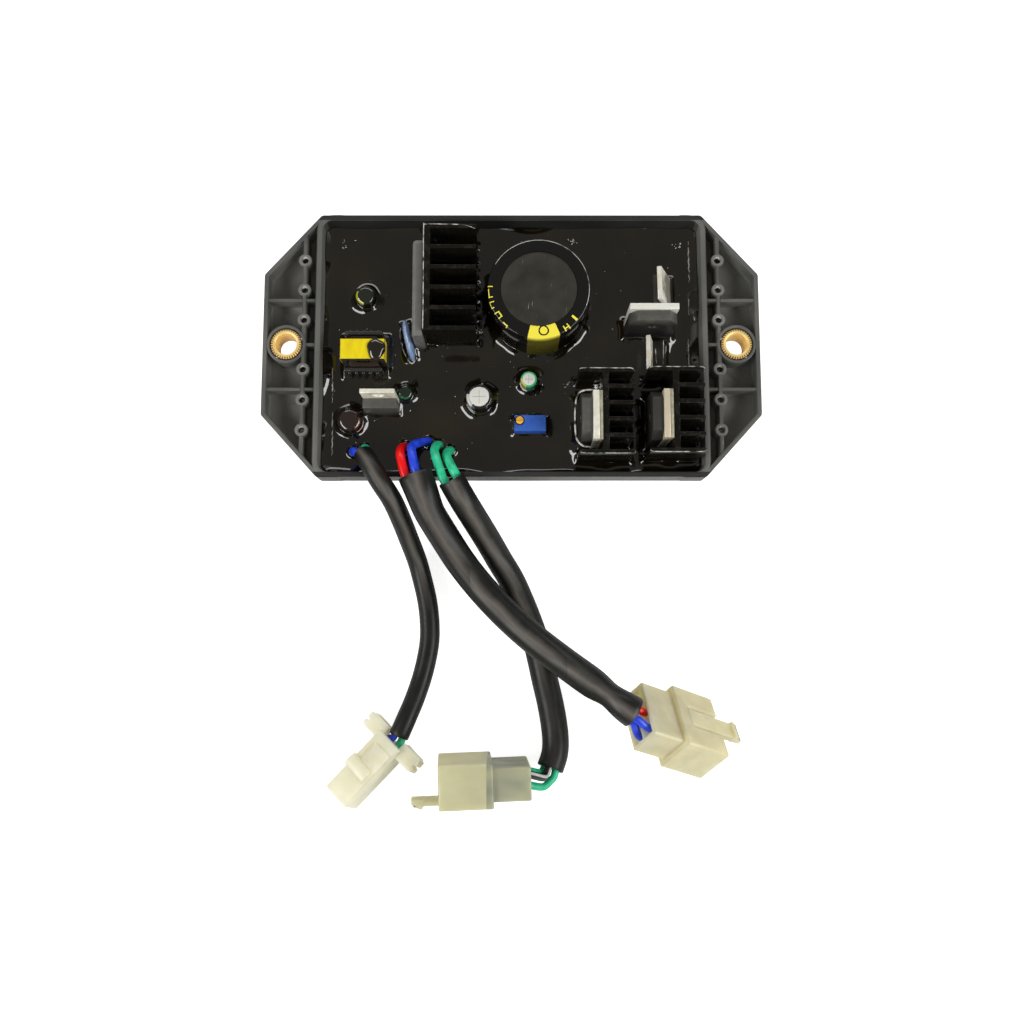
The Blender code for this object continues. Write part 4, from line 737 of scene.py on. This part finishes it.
end_wires = (
    ("wire_blue_left_end", "left", (1.3, 0.0, 0.4), (), (-1.9, 0.0)),
    ("wire_green_left_end", "left", (-1.3, 0.0, 0.4), (), (1.9, 0.0)),
    ("wire_red_middle_end", "middle", (-1.5, -1.1, 0.8), (), (0.0, 2.05)),
    ("wire_blue_middle_end", "middle", (1.0, 2.3, 0.8), (), (-5.2, 2.05)),
    ("wire_blue_lower_end", "middle", (2.4, -0.1, 0.8), (), (-5.2, -2.05)),
    ("wire_green_upper_end", "right", (1.7, -1.0, 1.0), ((7.9, -126.8, 7.4),), (0.0, -2.05)),
    ("wire_black_end", "right", (0.8, 2.2, 1.4), ((9.1, -127.7, 10.8),), (-5.2, -2.05)),
    ("wire_green_lower_end", "right", (-1.8, 0.2, 1.4), ((11.3, -129.5, 6.6), (9.2, -130.8, 8.0)),
     (0.0, 2.05)),
)
# Each connector: where its wire face is, how it is turned in degrees, and how deep the face lies
connector_places = {
    "left": ((-33.3, -116.3, 6.15), (17.6, -1.2, -133.5), 2.3),
    "middle": ((35.5, -109.0, 23.2), (-47.7, 30.1, -19.4), 0.0),
    "right": ((5.2, -127.8, 10.6), (-93.5, -3.4, 181.9), 0.0),
}


def in_cell(lead, depth, cell):
    """A point in a connector's cell, so deep behind its wire face."""
    spot, turn, sunk = connector_places[lead]
    angles = Euler([math.radians(angle) for angle in turn])
    return Vector(spot) + angles.to_matrix() @ Vector((sunk + depth, *cell))


insulation_tints = {
    "red": (tint(255, 10, 6), tint(244, 8, 6)),
    "blue": (tint(50, 84, 244), tint(26, 56, 206)),
    "green": (tint(60, 222, 166), tint(34, 182, 130)),
    "black": (tint(30, 30, 30), tint(20, 20, 20)),
}
insulation = {}
for name, (light, deep) in insulation_tints.items():
    finish = Finish("insulation_" + name, light, 0.32)
    handling = finish.grain(2.4, 2.0)
    shade = finish.mix(finish.ramp(handling, 0.3, 0.75), light, deep)
    if name == "black":
        shade = finish.mix(finish.across().within(0.56, 0.68), shade, tint(196, 200, 196))
    finish.dress(shade, 0.26 + handling * 0.16, handling, 0.04)
    insulation[name] = finish


def insulated(name, lead, points, radius):
    """A wire along its points, one of a lead's pieces."""
    colour = name.split("_")[1]
    route = smooth_route(points, 0.8)
    last = len(route) - 1
    rings = [(0, 0.0, radius * 0.8), (0, 0.05, radius)] + [(index, 0.0, radius) for index in range(1, last)]
    rings += [(last, -0.05, radius), (last, 0.0, radius * 0.8)]
    piece = wear(swept("lead_" + name, route, rings, around=24), insulation[colour], "wire_" + colour)
    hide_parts(name)
    leads[lead][3].append(piece)


for name, lead, spot, points in box_wires:
    mouth = leads[lead][1][::-1]
    inside = (spot[0] * 0.92, spot[1])
    ends = [off_end(mouth, 1.8, spot), off_end(mouth, 0.3, spot), off_end(mouth, -2.6, inside)]
    insulated(name, lead, [*points, *ends], 1.33)
for name, lead, (aside, above, ahead), points, cell in end_wires:
    route = leads[lead][1]
    starts = [off_end(route, -2.4, (aside * 0.85, above * 0.85)), off_end(route, 0.8, (aside, above)),
              off_end(route, 0.8 + ahead, (aside, above))]
    ends = [in_cell(lead, depth, cell) for depth in (0.6, 4.0)]
    insulated(name, lead, [*starts, *points, *ends], 1.13)

# The connectors. Three housings of natural nylon, moulded thin enough to be milky: two with a latch
# arm and cells for six wires, and a narrow one with a pair of notched wings.
def milky(name, light, shade, glow):
    """Natural nylon of one age: newer is whiter."""
    # The nylon also glows faintly in its own colour, painted light that lifts its shade.
    finish = Finish(name, light, 0.34, Subsurface_Weight=glow, Subsurface_Scale=0.008, Emission_Strength=0.12)
    finish.shader.inputs["Subsurface Radius"].default_value = (1.0, 0.9, 0.62)
    haze = finish.grain(5, 3.0)
    body = finish.mix(finish.ramp(haze, 0.3, 0.75), light, shade)
    finish.dress(body, 0.3 + finish.grain(1.4, 2.0) * 0.2, haze + finish.grain(0.4) * 0.06, 0.04)
    finish.feed("Emission Color", body)
    return finish


housings = {
    "left": milky("nylon_white", tint(227, 223, 199), tint(213, 208, 181), 0.8),
    "middle": milky("nylon_aged", tint(207, 200, 166), tint(189, 182, 148), 1.0),
    "right": milky("nylon_cream", tint(196, 193, 160), tint(178, 175, 144), 1.0),
}
cream = housings["right"]
east, north, _ = cream.axes()
rear = east.within(-7.0, 20.0)
smoke = cream.ramp(cream.grain(5.5, 1.0, (0.5, 1.0, 1.0)), 0.32, 0.7)
clear = cream.mix(smoke, tint(162, 162, 137), tint(130, 134, 119))
# The green wire behind the wall is painted onto the nylon where it shows through.
painted_green_showthrough = cream.disc((4.2, -133.6, 14.0), 1.3, 2.6)
clear = cream.mix(painted_green_showthrough * 0.7, clear, tint(70, 124, 96))
hood = cream.mix(cream.ramp(cream.grain(5, 3.0), 0.3, 0.75), tint(189, 186, 154), tint(180, 177, 146))
# Its colours feed the glow as well, painted light.
for socket in ("Base Color", "Emission Color"):
    cream.feed(socket, cream.mix(rear, hood, clear))
housing_edges = {"left": 0.12, "middle": 0.3, "right": 0.3}
for lead, (sleeve, route, radius, wires) in leads.items():
    moulding = finished_copy("housing_" + lead, "connector_" + lead, housing_edges[lead], joined=False)
    housing = wear(moulding, housings[lead], "milky_nylon")
    path = [tuple(point * MM) for point in route]
    length = sum((after - before).length for before, after in zip(route, route[1:])) * MM
    2 * radius * MM
    wires + [housing]

# The potting resin. Black epoxy poured into the tray round everything: glossy, with slow waves, drawn
# up against the walls and round all that stands in it, and with small bubbles caught in its skin.
resin_level = 11.5
board_top = 6.9
half_tray = (56.74, 38.14)
tray_corner = 3.0
cell = 0.34


def slab(foot, high, turn, lean, width, depth):
    """Where a package that leans goes into the resin: middle, half sizes and turn."""
    up = (resin_level - board_top - high) / math.cos(lean)
    back = -up * math.sin(lean) - depth / 2
    spot = (foot[0] - back * math.sin(turn), foot[1] + back * math.cos(turn))
    return spot, (width / 2, depth / 2), turn


# What stands in the resin: middle, half sizes, turn, then how high the resin climbs and how far out
dips = []
for x, y, radius in ((8.0, 13.0, 14.9), (-44.2, 15.5, 3.1), (-31.9, -14.1, 2.3), (-48.5, -22.6, 3.8),
                     (-9.5, -16.5, 3.9), (5.2, -10.8, 2.5)):
    dips.append(((x, y), (0.0, 0.0), 0.0, 2.3, 1.5, radius))
for *_, points in box_wires:
    dips.append((points[0][:2], (0.0, 0.0), 0.0, 1.1, 0.8, 1.3))
for x0, y0, pitch, reach, flange in ((-25.7, 1.0, 6.12, 13.4, 0.0), (26.2, -35.2, 4.76, 7.4, 6.8),
                                     (46.4, -34.8, 4.76, 7.4, 6.8)):
    long = 5 * pitch + 1.2
    web = 2.0 if flange == 0.0 else 1.8
    dips.append(((x0 + web / 2, y0 + long / 2), (web / 2, long / 2), 0.0, 1.5, 1.2, 0.0))
    for row in range(6):
        low = x0 - flange if row in (0, 5) else x0
        high = x0 + web + reach
        middle = ((low + high) / 2, y0 + row * pitch + 0.6)
        dips.append((middle, ((high - low) / 2, 0.6), 0.0, 1.1, 0.9, 0.0))
for spot, halves, turn, rise, reach in (
        ((-27.5, 14.5), (1.5, 14.7), 0.0, 1.6, 1.2), ((-31.1, 2.2), (1.2, 5.6), math.radians(12.0), 1.8, 1.1),
        ((-44.0, -2.7), (6.7, 6.3), 0.0, 1.8, 1.3), ((5.6, -23.9), (4.75, 2.45), 0.0, 1.5, 1.1)):
    dips.append((spot, halves, turn, rise, reach, 0.0))
quarter = math.radians(90.0)
for foot, high, turn, lean, width, depth, rise, reach in (
        ((-38.8, -15.9), 4.5, 0.0, 0.0, 10.1, 4.5, 1.3, 1.0),
        ((41.4, 8.6), 3.1, 0.0, 0.0, 14.2, 5.2, 1.8, 1.4),
        ((50.2, 17.2), 2.2, -quarter, math.radians(21.5), 10.1, 4.5, 1.2, 1.0),
        ((43.3, -4.0), 1.6, quarter, math.radians(-14.0), 10.1, 4.5, 1.4, 1.0),
        ((25.2, -24.05), 3.1, -quarter, 0.0, 14.2, 5.2, 3.4, 1.7),
        ((45.4, -23.65), 3.1, -quarter, 0.0, 14.2, 5.2, 2.2, 1.6)):
    dips.append((*slab(foot, high, turn, lean, width, depth), rise, reach, 0.0))

columns = round(2 * half_tray[0] / cell)
rows = round(2 * half_tray[1] / cell)
bpy.ops.mesh.primitive_grid_add(
    x_subdivisions=columns, y_subdivisions=rows, size=2.0, location=(0.0, 0.0, 0.0))
pool = bpy.context.object
pool.name = "resin_pour"
spots = {}
for vertex in pool.data.vertices:
    x, y = vertex.co.x * half_tray[0], vertex.co.y * half_tray[1]
    over = (max(0.0, abs(x) - half_tray[0] + tray_corner), max(0.0, abs(y) - half_tray[1] + tray_corner))
    far = math.hypot(*over)
    if far > tray_corner:
        x -= math.copysign(over[0] * (1.0 - tray_corner / far), x)
        y -= math.copysign(over[1] * (1.0 - tray_corner / far), y)
        far = tray_corner
    beside, ahead = half_tray[0] - abs(x), half_tray[1] - abs(y)
    slow = math.sin(x / 7.3 + 1.1 * math.sin(y / 9.1)) + math.sin(y / 6.1 + 0.8 * math.sin(x / 11.7))
    quick = math.sin(x / 2.3 + y / 3.1) * math.sin(y / 2.7 - x / 4.3)
    uneven = 1.0 + 0.3 * math.sin((x + y) / 5.3) + 0.15 * math.sin((x - y) / 2.9)
    level = 0.07 * slow + 0.012 * quick
    level += uneven * (2.8 * math.exp(-beside / 2.3) + 1.4 * math.exp(-ahead / 1.6))
    column = round((vertex.co.x + 1.0) / 2 * columns)
    row = round((vertex.co.y + 1.0) / 2 * rows)
    spots[column, row] = [vertex, x, y, level]
for (mx, my), (hx, hy), turn, rise, reach, radius in dips:
    span = math.hypot(hx, hy) + radius + 6.0 * reach
    cosine, sine = math.cos(turn), math.sin(turn)
    for column in range(max(0, int((mx - span + half_tray[0]) / cell)),
                        min(columns, int((mx + span + half_tray[0]) / cell) + 1) + 1):
        for row in range(max(0, int((my - span + half_tray[1]) / cell)),
                         min(rows, int((my + span + half_tray[1]) / cell) + 1) + 1):
            if (column, row) not in spots:
                continue
            _, x, y, _ = spots[column, row]
            aside = (x - mx) * cosine + (y - my) * sine
            along = (y - my) * cosine - (x - mx) * sine
            far = max(0.0, math.hypot(max(0.0, abs(aside) - hx), max(0.0, abs(along) - hy)) - radius)
            uneven = 1.0 + 0.13 * math.sin(x * 0.9 + my) * math.sin(y * 0.8 + mx)
            fade = 1.0 - math.exp(-6.0 * reach / (far + 0.01))
            spots[column, row][3] += rise * uneven * math.exp(-far / reach) * fade
tallest = 5.0
for spot in spots.values():
    vertex, x, y, level = spot
    spot[:] = x, y, resin_level + tallest * math.tanh(level / tallest)
    vertex.co = Vector(spot) * MM
bpy.ops.object.mode_set(mode="EDIT")
bpy.ops.mesh.select_mode(type="VERT")
bpy.ops.mesh.select_all(action="DESELECT")
bpy.ops.mesh.select_non_manifold(extend=False)
bpy.ops.mesh.extrude_region_move(TRANSFORM_OT_translate={"value": (0.0, 0.0, -9.0 * MM)})
bpy.ops.object.mode_set(mode="OBJECT")
for vertex in pool.data.vertices:
    if vertex.select:
        vertex.co = (vertex.co.x * 0.986, vertex.co.y * 0.98, 2.4 * MM)
bpy.ops.object.mode_set(mode="EDIT")
bpy.ops.mesh.edge_face_add()
bpy.ops.mesh.select_all(action="SELECT")
bpy.ops.mesh.normals_make_consistent(inside=False)
bpy.ops.object.mode_set(mode="OBJECT")
bpy.ops.object.shade_smooth_by_angle(angle=math.radians(85.0))
resin = Finish("potting_resin", (0.011, 0.0085, 0.004), 0.05, Specular_IOR_Level=0.8)
murk = resin.grain(16, 3.0)
film = resin.grain(3, 2.0)
resin.dress(resin.mix(resin.ramp(murk, 0.3, 0.72), (0.004, 0.0025, 0.001), (0.013, 0.009, 0.003)),
            0.05 + resin.ramp(film, 0.35, 0.8) * 0.05, film, 0.02)
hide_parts("potting_resin")
wear(pool, resin, "resin")

# Bubbles. Small beads of resin, caught in its skin as it set, that stand a little proud of it between
# the parts.
def speck(shape, detail, spot, size, turn, stretch):
    """Add a small ball to a shape, turned on the spot and drawn out."""
    place = Matrix.Translation(Vector(spot) * MM) @ Matrix.Rotation(turn, 4, "Z")
    place = place @ Matrix.Diagonal((*stretch, 1.0))
    bmesh.ops.create_icosphere(shape, subdivisions=detail, radius=size * MM, matrix=place)


dice = random.Random(41)
beads = bmesh.new()
surface = list(spots.values())
for _ in range(95):
    spot = dice.choice(surface)
    size = dice.uniform(0.1, 0.34) * (0.6 if dice.random() < 0.7 else 1.0)
    if spot[2] < resin_level + 2.0:
        speck(beads, 2, spot, size, 0.0, (1.0, dice.uniform(0.7, 1.0), 0.7))
wear(made("resin_beads", beads), resin, "resin")

# Dust and glints. Pale flecks held by the resin: partly fibre and grit that settled on it while it was soft,
# partly painted glints; they are thickest in clusters at listed spots.
fleck_clusters = ((-52.3, 32.9), (18.8, 34.3), (51.2, 32.8), (46.6, 4.9), (32.2, -32.6), (53.0, -34.8),
            (-36.5, -2.1), (-29.4, -15.0), (-33.9, -18.9), (17.6, -11.1), (-10.1, 5.6))
flecks = bmesh.new()
for _ in range(70):
    spot = dice.choice(surface)
    if spot[2] <= resin_level + 0.7:
        size, turn = dice.uniform(0.07, 0.17), dice.uniform(0.0, 3.1)
        speck(flecks, 1, spot, size, turn, (dice.uniform(0.8, 2.2), 1.0, 0.5))
for x, y in fleck_clusters:
    for _ in range(9):
        size = dice.uniform(0.08, 0.24)
        spot = (dice.gauss(x, 1.0), dice.gauss(y, 0.6), resin_level + 0.5)
        speck(flecks, 1, spot, size, dice.uniform(0.0, 3.1), (dice.uniform(1.0, 3.0), 1.0, 0.5))
dust_and_glints = Finish("dust_and_glints", (0.5, 0.49, 0.45), 0.5)
faint = dust_and_glints.ramp(dust_and_glints.grain(6), 0.4, 0.6)
dust_and_glints.feed("Base Color", dust_and_glints.mix(faint, (0.7, 0.69, 0.64), (0.2, 0.19, 0.16)))
wear(made("dust_and_glint_flecks", flecks, smooth=False), dust_and_glints, "resin")

# Highlight beads. Thin beads of resin along the upper edges of the heat sinks, packages and varistor,
# where the poured resin was wiped up over them, coloured pale in patches as painted highlights.
def thin_line(name, points, thick, taper):
    """A thin bead of resin along points, tapered at both ends, pale in patches as a painted highlight."""
    route = smooth_route(points, 0.5)
    last = len(route) - 1
    rings = [(index, 0.0, thick * min(1.0, 0.3 + taper * min(index, last - index)))
             for index in range(last + 1)]
    wear(swept(name, route, rings, around=8), pale, "resin")


highlight_bead_lines = (
    (0.15, ((-25.6, 1.2, 29.0), (-25.55, 10.0, 29.0), (-25.6, 20.0, 29.0), (-25.6, 32.2, 29.0),
            (-25.2, 32.7, 29.0), (-20.0, 32.75, 29.0), (-14.0, 32.5, 28.95), (-10.6, 31.5, 28.85))),
    (0.13, ((19.7, -11.2, 28.8), (20.0, -10.4, 29.0), (24.0, -10.3, 29.0), (31.0, -10.35, 29.0),
            (34.6, -10.4, 29.0), (35.2, -11.4, 28.8))),
    (0.13, ((19.7, -34.2, 28.8), (20.1, -35.0, 29.0), (26.0, -35.1, 29.0), (34.7, -35.0, 29.0),
            (35.2, -34.0, 28.8))),
    (0.13, ((39.9, -10.9, 28.8), (40.3, -10.0, 29.0), (47.0, -9.95, 29.0), (54.8, -10.0, 29.0),
            (55.4, -11.2, 28.8))),
    (0.13, ((39.9, -33.6, 28.8), (40.3, -34.6, 29.0), (48.0, -34.7, 29.0), (54.9, -34.6, 29.0),
            (55.4, -33.4, 28.8))),
    (0.26, ((24.4, -16.7, 28.7), (20.8, -16.8, 28.4), (18.9, -18.3, 27.6), (18.3, -24.0, 27.2),
            (18.6, -30.4, 27.6), (20.4, -32.9, 28.3), (22.8, -33.3, 28.6))),
    (0.12, ((45.2, 0.6, 20.2), (45.1, -6.8, 20.2))),
    (0.16, ((42.8, -2.0, 20.0), (43.1, -6.6, 19.8))),
    (0.2, ((-33.6, 7.2, 12.6), (-33.9, 4.4, 13.0), (-33.2, 0.4, 13.0), (-31.6, -3.2, 12.9),
           (-30.2, -4.6, 12.7), (-28.9, -3.2, 12.9))),
    (0.22, ((-29.7, 19.0, 13.2), (-29.9, 16.6, 13.4), (-29.7, 14.4, 13.2))),
)
# The beads are pale in patches, painted highlights, with dark resin between them.
pale = Finish("painted_highlight_bead", tint(170, 170, 165), 0.14)
highlight_patches = pale.ramp(pale.grain(2.1, 2.0), 0.36, 0.58)
pale.feed("Base Color", pale.mix(highlight_patches, (0.03, 0.028, 0.022), tint(208, 208, 200)))
pale.feed("Roughness", 0.1 + highlight_patches * 0.15)
for number, (thick, points) in enumerate(highlight_bead_lines):
    thin_line("resin_skin_%d" % number, points, thick, 0.35)

# Gleams on the walls. Thin beads laid on the resin where it crept up the end walls of the tray, pale in
# patches as painted highlights of its edge there, and broken where a part stands close by.
wall_gleams = (
    (54.6, 34.2, 20.8), (54.3, 15.7, 9.5), (54.0, 3.2, -5.9), (-54.3, -5.9, -16.7), (-54.0, -19.2, -33.0),
)
bpy.context.view_layer.update()
for number, (east, start, end) in enumerate(wall_gleams):
    points = []
    for step in range(13):
        above = Vector((east + 0.12 * math.sin(3.0 * step), start + (end - start) * step / 12, 22.0)) * MM
        points.append(pool.ray_cast(above, Vector((0.0, 0.0, -1.0)))[1] / MM)
    thin_line("wall_gleam_%d" % number, points, 0.22, 0.1)

# The blob. A drop of resin that has run over the transformer's tape and dried there, round and glossy
# and a little uneven at its edge.
bpy.ops.mesh.primitive_uv_sphere_add(segments=40, ring_count=20, radius=2.7 * MM, location=(0.0, 0.0, 0.0))
blob = bpy.context.object
blob.name = "resin_blob"
for vertex in blob.data.vertices:
    spot = vertex.co
    turn = math.atan2(spot.y, spot.x)
    wobble = 1.0 + 0.07 * math.sin(3.0 * turn + 0.6) + 0.05 * math.sin(5.0 * turn) * math.sin(spot.z * 1800.0)
    spot.x *= wobble
    spot.y *= 1.2 * wobble
    spot.z = spot.z * 0.5 if spot.z > 0.0 else spot.z * 0.06
blob.location = Vector((-39.9, -2.8, 22.15)) * MM
bpy.ops.object.transform_apply()
bpy.ops.object.shade_smooth()
wear(blob, resin, "resin")
